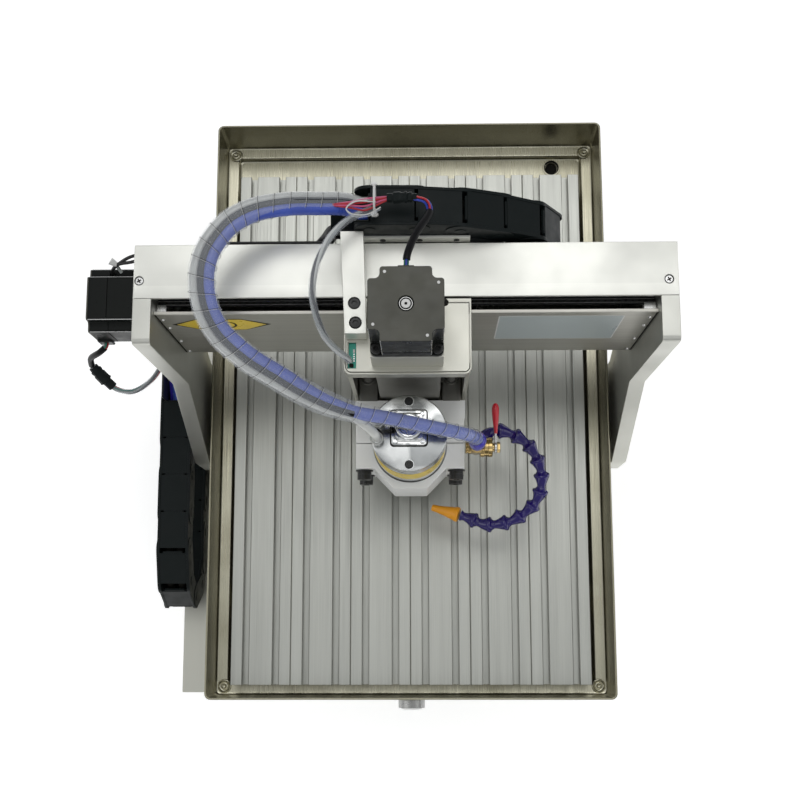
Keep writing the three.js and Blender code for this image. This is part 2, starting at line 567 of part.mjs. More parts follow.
function addCoolant(group) {
  const y = SPINDLE.y;
  const z = VALVE_Z;
  const valve = machined([
    turned("x", [0, y, z], [[CLAMP.halfX + 1 + GAP, 63, 6], [63, 75, 9], [75, 76.4, 4]], 16),
    turned("z", [60, y, 0], [[z - 1, z + 12, 7.5], [z + 12, z + 28, 4.5]], 12),
    turned("z", [70, y, 0], [[z - 26, z, 5.5]], 12),
    turned("y", [70, 0, z - 20], [[y, -38, 5.5]], 12),
  ]);
  add(group, "coolant_valve_body", valve, BRASS);

  const hub = turned("x", [0, y, z], [[76.8, 79.6, 5.5], [79.6, 82, 4]], 12);
  const grip = [[y, z - 4], [y + 12, z - 1], [y + 40, z + 1], [y + 40, z + 9], [y + 12, z + 6], [y, z + 4]];
  const blade = prism("x", grip, 76.8, 79.6);
  add(group, "valve_lever", machined([hub, blade]), LEVER_RED);

  const pipe = tube([
    [70, -37, 120], [70, -35, 120], [74, -30.5, 120], [83, -29, 120], [95.5, -32.5, 118], [108.5, -40.4, 114],
    [117, -51.7, 110], [122, -65.7, 105], [122, -80.2, 100], [117.6, -91.9, 95], [109.3, -100.8, 90],
    [97, -108.9, 86], [83, -112.3, 82], [69, -112.1, 79], [54.6, -106.1, 76], [47.5, -103.6, 74.6],
  ], 5.5, 44, 10);
  add(group, "coolant_pipe", pipe, PIPE_PURPLE);

  const tip = new THREE.Vector3(19.9, -95.3, 69);
  const root = new THREE.Vector3(45.8, -103, 74.2);
  const length = root.distanceTo(tip);
  const nozzle = turned("z", [0, 0, 0], [[0, 9, 6.6], [9, length, 6, 2.6]], 16);
  const along = tip.clone().sub(root).normalize();
  nozzle.applyQuaternion(new THREE.Quaternion().setFromUnitVectors(new THREE.Vector3(0, 0, 1), along));
  add(group, "coolant_nozzle", nozzle.translate(root.x, root.y, root.z), NOZZLE_ORANGE);
}

// ---------------------------------------------------------------- assembly

const machine = new THREE.Group();
const carriage = new THREE.Group();
carriage.position.x = CARRIAGE_X;
machine.add(carriage);

addBase(machine);
addTray(machine);
addTable(machine);
addYAxis(machine);
addGantryFrame(machine);
addXAxis(machine);
addGantryWiring(machine);
addXChain(machine);
addYChain(machine);
addCarriage(carriage);
addCarriageWiring(carriage);
addZSlide(carriage);
addSpindle(carriage);
addCoolant(carriage);

const extent = new THREE.Box3().setFromObject(machine);
const middle = extent.getCenter(new THREE.Vector3());
machine.position.set(-middle.x, -middle.y, -extent.min.z);

export default machine;
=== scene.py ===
"""Looks of a desktop gantry router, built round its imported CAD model."""

import json
import math

import bmesh
import bpy
from mathutils import Matrix, Vector

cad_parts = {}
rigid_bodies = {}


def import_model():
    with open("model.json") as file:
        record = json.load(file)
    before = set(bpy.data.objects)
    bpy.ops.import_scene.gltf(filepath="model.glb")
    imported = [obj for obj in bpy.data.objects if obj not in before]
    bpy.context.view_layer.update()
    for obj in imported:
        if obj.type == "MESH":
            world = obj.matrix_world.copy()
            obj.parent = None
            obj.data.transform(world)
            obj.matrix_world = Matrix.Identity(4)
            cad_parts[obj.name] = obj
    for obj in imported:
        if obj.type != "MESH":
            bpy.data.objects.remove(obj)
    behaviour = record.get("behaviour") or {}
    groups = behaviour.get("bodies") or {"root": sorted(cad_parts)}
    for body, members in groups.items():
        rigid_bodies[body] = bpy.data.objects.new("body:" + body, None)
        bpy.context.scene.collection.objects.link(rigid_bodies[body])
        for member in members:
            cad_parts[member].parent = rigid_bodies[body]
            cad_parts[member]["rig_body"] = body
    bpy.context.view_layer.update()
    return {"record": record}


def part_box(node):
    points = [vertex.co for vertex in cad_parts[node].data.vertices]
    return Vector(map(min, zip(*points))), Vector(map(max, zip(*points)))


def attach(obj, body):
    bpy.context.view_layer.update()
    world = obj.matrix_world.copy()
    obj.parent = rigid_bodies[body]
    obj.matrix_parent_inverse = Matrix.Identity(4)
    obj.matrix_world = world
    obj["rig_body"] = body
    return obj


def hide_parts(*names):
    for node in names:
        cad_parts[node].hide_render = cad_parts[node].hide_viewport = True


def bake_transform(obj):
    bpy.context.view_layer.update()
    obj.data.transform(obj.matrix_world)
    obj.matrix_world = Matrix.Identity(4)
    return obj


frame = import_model()
BODIES = frame["record"]["behaviour"]["bodies"]
BODY_OF = {node: body for body, nodes in BODIES.items() for node in nodes}

# ---------------------------------------------------------------- where things are

# Pieces are drawn in millimetres from the centre of the table's top face.
MM = 0.001
table_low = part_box("table_plank_1")[0]
table_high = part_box("table_plank_6")[1]
TABLE = (table_low + table_high) / 2
TABLE.z = table_high.z
TO_FRAME = Matrix.Translation(TABLE) @ Matrix.Scale(MM, 4)


def span(node):
    """A CAD node's x0, x1, y0, y1, z0, z1 in millimetres from the table's centre."""
    low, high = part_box(node)
    low, high = (low - TABLE) / MM, (high - TABLE) / MM
    return low.x, high.x, low.y, high.y, low.z, high.z


CX = sum(span("spindle_body")[:2]) / 2  # the carriage's own centre line
SPINDLE_Y = -47.0
SHAFT_Z = -85  # the Y shafts and the Y screw
X_LINE, Y_LINE, Z_LINE = ("x", 73, 198), ("y", 0, SHAFT_Z), ("z", 0, 26)  # the ball screws
SPINDLE_LINE = ("z", 0, SPINDLE_Y)
FLOOR_Z = span("foot_front_left")[4]

# ---------------------------------------------------------------- camera, light and floor

scene = bpy.context.scene
scene.view_settings.view_transform = "Standard"
camera = bpy.data.objects.new("camera", bpy.data.cameras.new("camera"))
scene.collection.objects.link(camera)
scene.camera = camera
camera.data.lens = 56.78
camera.matrix_world = Matrix.Translation(TO_FRAME @ Vector((15.9, -207.1, 1282.2)))
for angle, axis in ((0.177, "X"), (0.020, "Y"), (-0.005, "Z")):
    camera.matrix_world = camera.matrix_world @ Matrix.Rotation(angle, 4, axis)


def area_light(name, where, aim, size, watts):
    data = bpy.data.lights.new(name, "AREA")
    data.shape = "RECTANGLE"
    data.size, data.size_y = size
    data.energy = watts
    light = bpy.data.objects.new(name, data)
    light.location = where
    light.rotation_euler = (Vector(aim) - Vector(where)).to_track_quat("-Z", "Y").to_euler()
    scene.collection.objects.link(light)


area_light("softbox_top", (0.1, 0.75, 2.5), (0.0, 0.0, 0.2), (1.5, 1.1), 8)
area_light("softbox_left", (-2.0, -0.2, 1.7), (0.0, 0.0, 0.1), (1.2, 1.4), 6)
area_light("softbox_right", (2.0, 0.0, 1.7), (0.0, 0.0, 0.1), (1.2, 1.4), 4)
area_light("softbox_front", (0.0, -1.5, 2.0), (0.0, -0.1, 0.1), (1.2, 0.6), 3)

# The studio round the machine is brightest overhead.
world = bpy.data.worlds.new("studio")
scene.world = world
world.use_nodes = True
sky = world.node_tree
height = sky.nodes.new("ShaderNodeSeparateXYZ")
sky.links.new(sky.nodes.new("ShaderNodeTexCoord").outputs["Generated"], height.inputs[0])
glow = sky.nodes.new("ShaderNodeMapRange")
glow.inputs["To Min"].default_value = 0.26
glow.inputs["To Max"].default_value = 0.62
sky.links.new(height.outputs["Z"], glow.inputs["Value"])
sky.links.new(glow.outputs["Result"], sky.nodes["Background"].inputs["Strength"])
sky.nodes["Background"].inputs["Color"].default_value = (0.96, 0.98, 1.0, 1.0)

# ---------------------------------------------------------------- materials


class Look:
    """One Principled material, with its detail added by the methods below."""

    def __init__(self, name, colour, roughness, metallic=0.0, **sockets):
        self.material = bpy.data.materials.new(name)
        self.material.use_nodes = True
        self.tree = self.material.node_tree
        self.shader = self.tree.nodes["Principled BSDF"]
        values = {"Base Color": (*colour, 1.0), "Roughness": roughness, "Metallic": metallic}
        values.update({key.replace("_", " "): value for key, value in sockets.items()})
        for key, value in values.items():
            self.shader.inputs[key].default_value = value
        self.bumps = None
        self.place = self.node("TexCoord").outputs["Object"]

    def node(self, kind, **values):
        node = self.tree.nodes.new("ShaderNode" + kind)
        for key, value in values.items():
            if key in node.inputs:
                node.inputs[key].default_value = value
            else:
                setattr(node, key, value)
        return node

    def link(self, output, target):
        self.tree.links.new(output, target)

    def noise(self, cell, stretch=(1, 1, 1), detail=2.0):
        """Noise from 0 to 1 whose cells are about cell millimetres, times stretch along each axis."""
        mapping = self.node("Mapping")
        mapping.inputs["Scale"].default_value = [1 / (cell * MM * s) for s in stretch]
        self.link(self.place, mapping.inputs["Vector"])
        noise = self.node("TexNoise", Scale=1.0, Detail=detail)
        self.link(mapping.outputs["Vector"], noise.inputs["Vector"])
        return noise.outputs["Fac"]

    def height(self):
        """The height above the floor, in metres."""
        parts = self.node("SeparateXYZ")
        self.link(self.place, parts.inputs[0])
        return parts.outputs["Z"]

    def spread(self, factor, low, high, start=0.3, end=0.7):
        """The factor's range from start to end, spread out from low to high."""
        ranged = self.node("MapRange")
        for socket, value in zip(("From Min", "From Max", "To Min", "To Max"), (start, end, low, high)):
            ranged.inputs[socket].default_value = value
        self.link(factor, ranged.inputs["Value"])
        return ranged.outputs["Result"]

    def tint(self, factor, colour, amount=1.0, start=0.35, end=0.7):
        """Lays another colour over the base colour where the factor is high."""
        mix = self.node("Mix", data_type="RGBA")
        socket = self.shader.inputs["Base Color"]
        if socket.is_linked:
            self.link(socket.links[0].from_socket, mix.inputs[6])
        else:
            mix.inputs[6].default_value = socket.default_value
        mix.inputs[7].default_value = (*colour, 1.0)
        self.link(self.spread(factor, 0.0, amount, start, end), mix.inputs[0])
        self.link(mix.outputs[2], socket)
        return self

    def gloss(self, factor, low, high, start=0.3, end=0.7):
        """Roughness that goes from low to high with the factor."""
        self.link(self.spread(factor, low, high, start, end), self.shader.inputs["Roughness"])
        return self

    def bump(self, factor, depth, strength=1.0):
        """Relief of about depth millimetres."""
        bump = self.node("Bump", Strength=strength, Distance=depth * MM)
        self.link(factor, bump.inputs["Height"])
        if self.bumps:
            self.link(self.bumps, bump.inputs["Normal"])
        self.bumps = bump.outputs["Normal"]
        self.link(self.bumps, self.shader.inputs["Normal"])
        return self


def blasted(name, colour, roughness=0.4, metallic=0.9):
    """Bead-blasted metal, rubbed bright where its surface turns outwards."""
    look = Look(name, colour, roughness, metallic)
    smudge = look.noise(60, detail=4)
    look.tint(smudge, [c * 0.86 for c in colour], 0.6)
    look.gloss(smudge, roughness - 0.06, roughness + 0.08)
    look.bump(look.noise(0.35, detail=1), 0.03, 0.5)
    edges = look.node("NewGeometry").outputs["Pointiness"]
    return look.tint(edges, [min(1.0, c * 1.25) for c in colour], 0.6, 0.52, 0.6)


def brushed(name, colour, roughness, along, metallic=1.0, scratch=0.5):
    """Metal with a grain along one axis and soft stains."""
    look = Look(name, colour, roughness, metallic)
    stretch = [1, 1, 1]
    stretch["xyz".index(along)] = 160
    grain = look.noise(0.5, stretch, detail=3)
    broad = look.noise(9, [s if s == 1 else 40 for s in stretch], detail=2)
    look.tint(grain, [c * 0.72 for c in colour], scratch)
    look.tint(broad, [min(1, c * 1.18) for c in colour], 0.5)
    look.gloss(grain, roughness - 0.05, roughness + 0.12)
    return look.bump(grain, 0.02, 0.35)


def moulded(name, colour, roughness, cell=0.8, depth=0.04, **sockets):
    """Plastic, rubber or paint with a fine moulded surface."""
    look = Look(name, colour, roughness, **sockets)
    look.tint(look.noise(25, detail=3), [c * 0.65 + 0.004 for c in colour], 0.6)
    look.gloss(look.noise(12, detail=3), roughness - 0.06, roughness + 0.1)
    return look.bump(look.noise(cell, detail=2), depth, 0.5)


BLASTED = blasted("blasted_aluminium", (0.72, 0.72, 0.67))
LEG_METAL = blasted("leg_aluminium", (0.56, 0.56, 0.515))
# A paler, less metallic copy of the blasted aluminium for the clamp: its lightness is painted light on the
# clamp's tops.
PAINTED_LIGHT_METAL = blasted("aluminium_painted_light", (0.90, 0.90, 0.86), 0.45, 0.3)
HOUSING_METAL = blasted("housing_aluminium", (0.50, 0.495, 0.44), 0.36)
# A darker copy of the blasted aluminium for the housing's front plate and the saddle's faces: its darkness
# is painted shade on faces turned from the light.
SHADED_METAL = blasted("aluminium_painted_shade", (0.24, 0.235, 0.21), 0.36)
TABLE_METAL = brushed("table_aluminium", (0.49, 0.495, 0.455), 0.34, "y", 0.95)
BEAM_METAL = brushed("cover_aluminium", (0.44, 0.43, 0.39), 0.34, "x", 0.95, 0.3)
STAINLESS = brushed("tray_stainless", (0.50, 0.48, 0.375), 0.27, "y", 1.0, 0.3)
STAINLESS.tint(STAINLESS.noise(70, detail=5), (0.26, 0.24, 0.16), 0.55, 0.45, 0.75)
# The tray is darker higher up: a colour laid on by height, from 27 mm below the table's top to 12 mm above
# it.
STAINLESS.tint(STAINLESS.height(), (0.28, 0.265, 0.19), 0.8, TABLE.z - 27 * MM, TABLE.z + 12 * MM)
GROUND = brushed("ground_steel", (0.62, 0.62, 0.62), 0.16, "y")
STEEL = blasted("screw_steel", (0.55, 0.55, 0.54), 0.25, 1.0)
CHROME = Look("chrome", (0.80, 0.81, 0.80), 0.07, 1.0)
CHROME.gloss(CHROME.noise(14, detail=5), 0.05, 0.16).bump(CHROME.noise(9), 0.01, 0.2)
TURNED_PAINTED_REFLECTION = Look("turned_steel_painted_reflection", (0.66, 0.67, 0.66), 0.16, 1.0)
# The dark patches laid over its colour are painted reflection: the bright and dark that a turned face
# reflects.
TURNED_PAINTED_REFLECTION.tint(TURNED_PAINTED_REFLECTION.noise(26, detail=1), (0.26, 0.27, 0.27), 0.8, 0.47, 0.56)
TURNED_PAINTED_REFLECTION.gloss(TURNED_PAINTED_REFLECTION.noise(9, detail=3), 0.12, 0.22)
# A darker copy of chrome: its dark colour is a painted dark reflection, and the bright patches laid over it
# are painted highlights.
SHADED_CHROME = Look("shaded_chrome", (0.34, 0.35, 0.35), 0.08, 1.0)
SHADED_CHROME.tint(SHADED_CHROME.noise(10, detail=1), (0.80, 0.80, 0.79), 0.9, 0.5, 0.6)
BLACK_STEEL = moulded("black_screw", (0.016, 0.016, 0.015), 0.3, 0.4, 0.02, Metallic=0.3)
DARK = {"Specular_IOR_Level": 0.1}
MOTOR_BODY = moulded("motor_black", (0.010, 0.0115, 0.0105), 0.3, 0.6, 0.02, **DARK)
MOTOR_CAP = moulded("motor_cap", (0.064, 0.063, 0.046), 0.42, 0.5, 0.02)
BLACK_PLATE = brushed("black_anodised", (0.012, 0.013, 0.013), 0.4, "x", 0.1, 0.3)
# A flat dark colour: painted shade where it fills holes, gaps and recesses; it is also dark print and some
# dark parts.
INSIDE = moulded("dark_inside", (0.018, 0.017, 0.014), 0.6, **DARK)
NYLON = moulded("chain_nylon", (0.008, 0.0115, 0.0115), 0.38, 0.5, 0.03, Specular_IOR_Level=0.12)
RUBBER = moulded("rubber", (0.02, 0.02, 0.02), 0.75, 0.5, 0.08)
BLUE = moulded("blue_hose", (0.06, 0.11, 0.52), 0.24, 3, 0.02)
VIOLET = moulded("blue_hose_end", (0.055, 0.04, 0.52), 0.2, 3, 0.02)
TUBE = moulded("clear_tube", (0.60, 0.61, 0.58), 0.16, 3, 0.02, Coat_Weight=0.5)
WRAP = Look("clear_wrap", (0.80, 0.84, 0.90), 0.12, 0.0, Alpha=0.2, Coat_Weight=0.3)
WRAP.gloss(WRAP.noise(6, detail=4), 0.08, 0.35).bump(WRAP.noise(4), 0.15, 0.4)
SLEEVE = moulded("black_sleeve", (0.006, 0.006, 0.007), 0.34, 1.2, 0.03, Specular_IOR_Level=0.12)
BRASS = brushed("brass", (0.56, 0.41, 0.18), 0.14, "z", 1.0, 0.3)
BRASS.tint(BRASS.noise(5, detail=4), (0.16, 0.11, 0.04), 0.8, 0.45, 0.65)
RED = moulded("red_vinyl", (0.66, 0.004, 0.022), 0.2, 4, 0.02, Coat_Weight=0.4)
PURPLE = moulded("purple_acetal", (0.013, 0.004, 0.13), 0.13, 4, 0.01, Coat_Weight=0.25)
ORANGE = moulded("orange_acetal", (0.88, 0.36, 0.01), 0.34, 4, 0.03)
YELLOW = moulded("yellow_label", (0.78, 0.56, 0.03), 0.3, 5, 0.01)
LABEL = Look("plain_label", (0.37, 0.42, 0.42), 0.3)
LABEL.gloss(LABEL.noise(80, detail=1), 0.27, 0.33)
BOARD = moulded("circuit_board", (0.03, 0.42, 0.31), 0.35, 2, 0.02)
WHITE = moulded("white_nylon", (0.72, 0.72, 0.70), 0.35, 2, 0.02)
WIRES = {
    name: moulded(f"wire_{name}", colour, 0.3, 2, 0.02)
    for name, colour in {
        "red": (0.45, 0.01, 0.02), "pink": (0.62, 0.10, 0.22), "blue": (0.02, 0.05, 0.42),
        "green": (0.01, 0.16, 0.11), "grey": (0.30, 0.32, 0.31), "black": (0.012, 0.012, 0.012),
    }.items()
}
SLOTS = {
    "blasted_aluminium": (BLASTED, LEG_METAL, PAINTED_LIGHT_METAL, HOUSING_METAL),
    "brushed_aluminium": (TABLE_METAL, BEAM_METAL),
    "ground_steel": (GROUND, STEEL),
    "blue_hose": (BLUE, VIOLET, TUBE),
    "stainless": (STAINLESS,), "chrome": (CHROME,), "motor_black": (MOTOR_BODY,), "brass": (BRASS,),
    "black_plate": (BLACK_PLATE,), "chain_nylon": (NYLON,), "rubber": (RUBBER,), "red_grip": (RED,),
    "cable_black": (SLEEVE,), "purple_acetal": (PURPLE,), "orange_acetal": (ORANGE,),
}
SLOT_OF = {look: slot for slot, looks in SLOTS.items() for look in looks}
FLOOR = Look("studio_floor", (0.93, 0.93, 0.925), 0.7, Emission_Color=(1, 1, 1, 1), Emission_Strength=0.5)
FLOOR.bump(FLOOR.noise(2), 0.02, 0.3)

# ---------------------------------------------------------------- drawing

AXES = {"x": (1, 2, 0), "y": (0, 2, 1), "z": (0, 1, 2)}


def placed(axis, u, v, w):
    """A point at w along an axis and (u, v) across it: (y, z) on x, (x, z) on y, (x, y) on z."""
    point = [0.0, 0.0, 0.0]
    for index, value in zip(AXES[axis], (u, v, w)):
        point[index] = value
    return Vector(point)


def arc(u, v, radius, start, end, steps=8):
    """Points on an arc, with its angles in degrees."""
    angles = [math.radians(start + (end - start) * i / steps) for i in range(steps + 1)]
    return [(u + radius * math.cos(a), v + radius * math.sin(a)) for a in angles]


def circle(u, v, radius, sides=40):
    return arc(u, v, radius, 0, 360, sides)[:-1]


def grid(us, vs):
    """The places where rows and columns cross."""
    return [(u, v) for u in us for v in vs]


def mirrored(half, middle=()):
    """An outline from its right half, with what may lie between the two halves."""
    return [*half, *middle, *[(-u, v) for u, v in reversed(half)]]


def rounded(u0, u1, v0, v1, radius, steps=5):
    """A rectangle with round corners."""
    r = radius
    corners = ((u1 - r, v0 + r, -90), (u1 - r, v1 - r, 0), (u0 + r, v1 - r, 90), (u0 + r, v0 + r, 180))
    return [p for u, v, start in corners for p in arc(u, v, r, start, start + 90, steps)]


def smooth_path(points, step=2.0):
    """Points about step apart on the centripetal Catmull-Rom curve that the CAD tubes follow."""
    given = [Vector(p) for p in points]
    given = [given[0] * 2 - given[1], *given, given[-1] * 2 - given[-2]]
    path = []
    for p0, p1, p2, p3 in zip(given, given[1:], given[2:], given[3:]):
        k0, k1, k2 = (max((b - a).length, 1e-6) ** 0.5 for a, b in ((p0, p1), (p1, p2), (p2, p3)))
        m1 = ((p1 - p0) / k0 - (p2 - p0) / (k0 + k1) + (p2 - p1) / k1) * k1
        m2 = ((p2 - p1) / k1 - (p3 - p1) / (k1 + k2) + (p3 - p2) / k2) * k1
        count = max(2, round((p2 - p1).length / step))
        for i in range(count):
            t = i / count
            near = p1 * (2 * t**3 - 3 * t**2 + 1) + m1 * (t**3 - 2 * t**2 + t)
            path.append(near + p2 * (3 * t**2 - 2 * t**3) + m2 * (t**3 - t**2))
    path.append(given[-2])
    return path


def frames(path):
    """Rows of a path's point, two directions across it, the second one near up, and its length so far."""
    rows, length, side = [], 0.0, None
    for i, point in enumerate(path):
        tangent = (path[min(i + 1, len(path) - 1)] - path[max(i - 1, 0)]).normalized()
        if side is None:
            start = Vector((0, 0, 1)) if abs(tangent.z) < 0.9 else Vector((0, 1, 0))
            side = tangent.cross(start).normalized()
        side = (side - tangent * side.dot(tangent)).normalized()
        length += (point - path[max(i - 1, 0)]).length
        rows.append((point, side, side.cross(tangent).normalized(), length))
    return rows


def at(value, place):
    """A number, or a function of the place."""
    return value(place) if callable(value) else value


def offset_path(path, across, up):
    """A path beside another one. across and up are millimetres, or functions of the share of its length."""
    rows = frames(path)
    whole = rows[-1][3]
    return [p + s * at(across, n / whole) + u * at(up, n / whole) for p, s, u, n in rows]


def hoop(centre, side, up, radius, sides, squeeze=1.0):
    """Points round a centre, in the plane of two directions."""
    return [centre + side * x + up * (y * squeeze) for x, y in circle(0, 0, radius, sides)]


class Piece:
    """A visible piece: shapes are added to it in millimetres, and done() puts it in the frame."""

    def __init__(self, name, looks, node=None, body=None, slot=None, move=None):
        self.name, self.node, self.move = name, node, move
        self.looks = looks if isinstance(looks, list) else [looks]
        self.body = BODY_OF[node] if node else body
        self.slot = slot or SLOT_OF.get(self.looks[0])
        self.mesh = bmesh.new()

    def take(self, part, look=0):
        """Adds a small bmesh to the piece, and frees it."""
        for face in part.faces:
            face.material_index = look
            face.smooth = True
        if self.move:
            bmesh.ops.transform(part, matrix=self.move, verts=part.verts)
        holder = bpy.data.meshes.new("holder")
        part.to_mesh(holder)
        part.free()
        self.mesh.from_mesh(holder)
        bpy.data.meshes.remove(holder)
        return self

    def box(self, x0, x1, y0, y1, z0, z1, look=0, edge=0.5, steps=2):
        low, high = Vector((x0, y0, z0)), Vector((x1, y1, z1))
        part = bmesh.new()
        bmesh.ops.create_cube(part, size=1.0, matrix=Matrix.LocRotScale((low + high) / 2, None, high - low))
        edges = part.edges[:]
        bmesh.ops.bevel(part, geom=edges, offset=edge, segments=steps, affect="EDGES", clamp_overlap=True)
        return self.take(part, look)

    def plate(self, axis, loops, start, end, look=0, edge=0.4):
        """An outline, less the holes that follow it, made thick along an axis, with a small chamfer."""
        curve = bpy.data.curves.new("outline", "CURVE")
        curve.dimensions = "2D"
        curve.fill_mode = "BOTH"
        curve.extrude = abs(end - start) / 2 - edge
        curve.bevel_depth = edge
        curve.bevel_resolution = 1
        curve.offset = -edge
        for loop in loops:
            spline = curve.splines.new("POLY")
            spline.points.add(len(loop) - 1)
            for point, (u, v) in zip(spline.points, loop):
                point.co = (u, v, 0.0, 1.0)
            spline.use_cyclic_u = True
        holder = bpy.data.objects.new("outline", curve)
        solid = bpy.data.meshes.new_from_object(holder)
        part = bmesh.new()
        part.from_mesh(solid)
        bpy.data.objects.remove(holder)
        bpy.data.curves.remove(curve)
        bpy.data.meshes.remove(solid)
        bmesh.ops.remove_doubles(part, verts=part.verts, dist=0.001)
        middle = (start + end) / 2
        for vertex in part.verts:
            vertex.co = placed(axis, vertex.co.x, vertex.co.y, vertex.co.z + middle)
        return self.take(part, look)

    def skin(self, rings, look=0, closed=False, caps=True):
        """Quads between rings of the same number of points, with a lid on each end."""
        part = bmesh.new()
        rows = [[part.verts.new(p) for p in ring] for ring in rings]
        pairs = list(zip(rows, rows[1:])) + ([(rows[-1], rows[0])] if closed else [])
        for low, high in pairs:
            for i in range(len(low)):
                j = (i + 1) % len(low)
                part.faces.new((low[i], low[j], high[j], high[i]))
        if caps and not closed:
            part.faces.new(rows[0][::-1])
            part.faces.new(rows[-1])
        return self.take(part, look)

    def turned(self, axis, u, v, profile, look=0, sides=48, closed=False):
        """A lathe shape about an axis through (u, v). The profile is a list of (place along, radius)."""
        rings = [
            [placed(axis, *point, w) for point in circle(u, v, max(radius, 0.01), sides)]
            for w, radius in profile
        ]
        return self.skin(rings, look, closed)

    def rod(self, axis, u, v, start, end, radius, look=0, edge=0.4, sides=48):
        """A plain round bar with chamfered ends."""
        e = edge if end > start else -edge
        profile = [(start, radius - edge), (start + e, radius), (end - e, radius), (end, radius - edge)]
        return self.turned(axis, u, v, profile, look, sides)

    def ring(self, axis, u, v, start, end, inner, outer, look=0, edge=0.3, sides=48):
        """A washer or sleeve."""
        e = edge if end > start else -edge
        profile = [
            (start, inner + edge), (start, outer - edge), (start + e, outer), (end - e, outer),
            (end, outer - edge), (end, inner + edge), (end - e, inner), (start + e, inner),
        ]
        return self.turned(axis, u, v, profile, look, sides, closed=True)

    def thread(self, axis, u, v, start, end, outer, root, pitch, look=0, sides=24):
        """A screw thread with real helical grooves."""
        rows = max(2, round(abs(end - start) / pitch * 6))
        rings = []
        for i in range(rows + 1):
            w = start + (end - start) * i / rows
            loop = []
            for k, (x, y) in enumerate(circle(0, 0, 1, sides)):
                phase = (w / pitch + k / sides) % 1.0
                radius = root + (outer - root) * min(1.0, abs(phase - 0.5) * 3.2)
                loop.append(placed(axis, u + radius * x, v + radius * y, w))
            rings.append(loop)
        return self.skin(rings, look)

    def rods(self, line, *places_and_radii):
        """Plain bars end to end along a line, given as place, radius, place, radius, ..., place."""
        places, radii = places_and_radii[::2], places_and_radii[1::2]
        for start, radius, end in zip(places, radii, places[1:]):
            self.rod(*line, start, end, radius)
        return self

    def tube(self, path, radius, look=0, sides=14, squeeze=1.0):
        """A round tube along a path. The radius is a number or a function of millimetres along it."""
        rings = [hoop(p, side, up, at(radius, n), sides, squeeze) for p, side, up, n in frames(path)]
        return self.skin(rings, look)

    def wire(self, points, radius, look=0, sides=10):
        return self.tube(smooth_path(points, 1.5), radius, look, sides)

    def cap_screw(self, axis, u, v, seat, head, radius=3.4, look=0, sides=32):
        """A socket head whose seat and top are places along the axis."""
        floor = seat + (head - seat) * 0.4
        outline = [circle(u, v, radius, sides), circle(u, v, radius * 0.52, 6)]
        self.plate(axis, outline, *sorted((floor, head)), look, 0.25)
        return self.rod(axis, u, v, seat, floor, radius, look, 0.05, sides)

    def cap_screws(self, axis, places, *sizes):
        for u, v in places:
            self.cap_screw(axis, u, v, *sizes)
        return self

    def cross_screw(self, axis, u, v, face, out, radius=3.2, look=0, dark=1):
        """A flat cross-recessed head, standing a little out of its face. The cross is a thin plate in a
        dark look: painted shade for the recess.
        """
        e = 0.3 * out
        self.turned(axis, u, v, [(face, radius), (face + e, radius), (face + 1.6 * e, radius * 0.86)], look)
        arm, wide = radius * 0.62, radius * 0.17
        cross = [(arm, wide), (wide, wide), (wide, arm), (-wide, arm), (-wide, wide), (-arm, wide)]
        cross += [(-p, -q) for p, q in cross]
        a, b = math.cos(0.5), math.sin(0.5)
        cross = [(u + p * a - q * b, v + p * b + q * a) for p, q in cross]
        top = face + 1.6 * e
        return self.plate(axis, [cross], *sorted((top, top + 0.12 * out)), dark, 0.03)

    def done(self, blend=None):
        bmesh.ops.recalc_face_normals(self.mesh, faces=self.mesh.faces)
        mesh = bpy.data.meshes.new(self.name)
        self.mesh.to_mesh(mesh)
        self.mesh.free()
        mesh.transform(TO_FRAME)
        for look in self.looks:
            mesh.materials.append(look.material)
        mesh.set_sharp_from_angle(angle=math.radians(38))
        piece = bpy.data.objects.new(self.name, mesh)
        scene.collection.objects.link(piece)
        if blend:
            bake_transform(piece)
        else:
            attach(piece, self.body)
        normals = piece.modifiers.new("flat faces", "WEIGHTED_NORMAL")
        normals.keep_sharp = True
        if self.node:
            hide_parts(self.node)
        return piece


FLOOR_SIZE = 4000
floor = Piece("studio_floor", FLOOR, body="base")
floor = floor.box(-FLOOR_SIZE, FLOOR_SIZE, -FLOOR_SIZE, FLOOR_SIZE, FLOOR_Z - 20, FLOOR_Z).done()
floor.parent = None
del floor["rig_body"]


# ---------------------------------------------------------------- tray, table and base


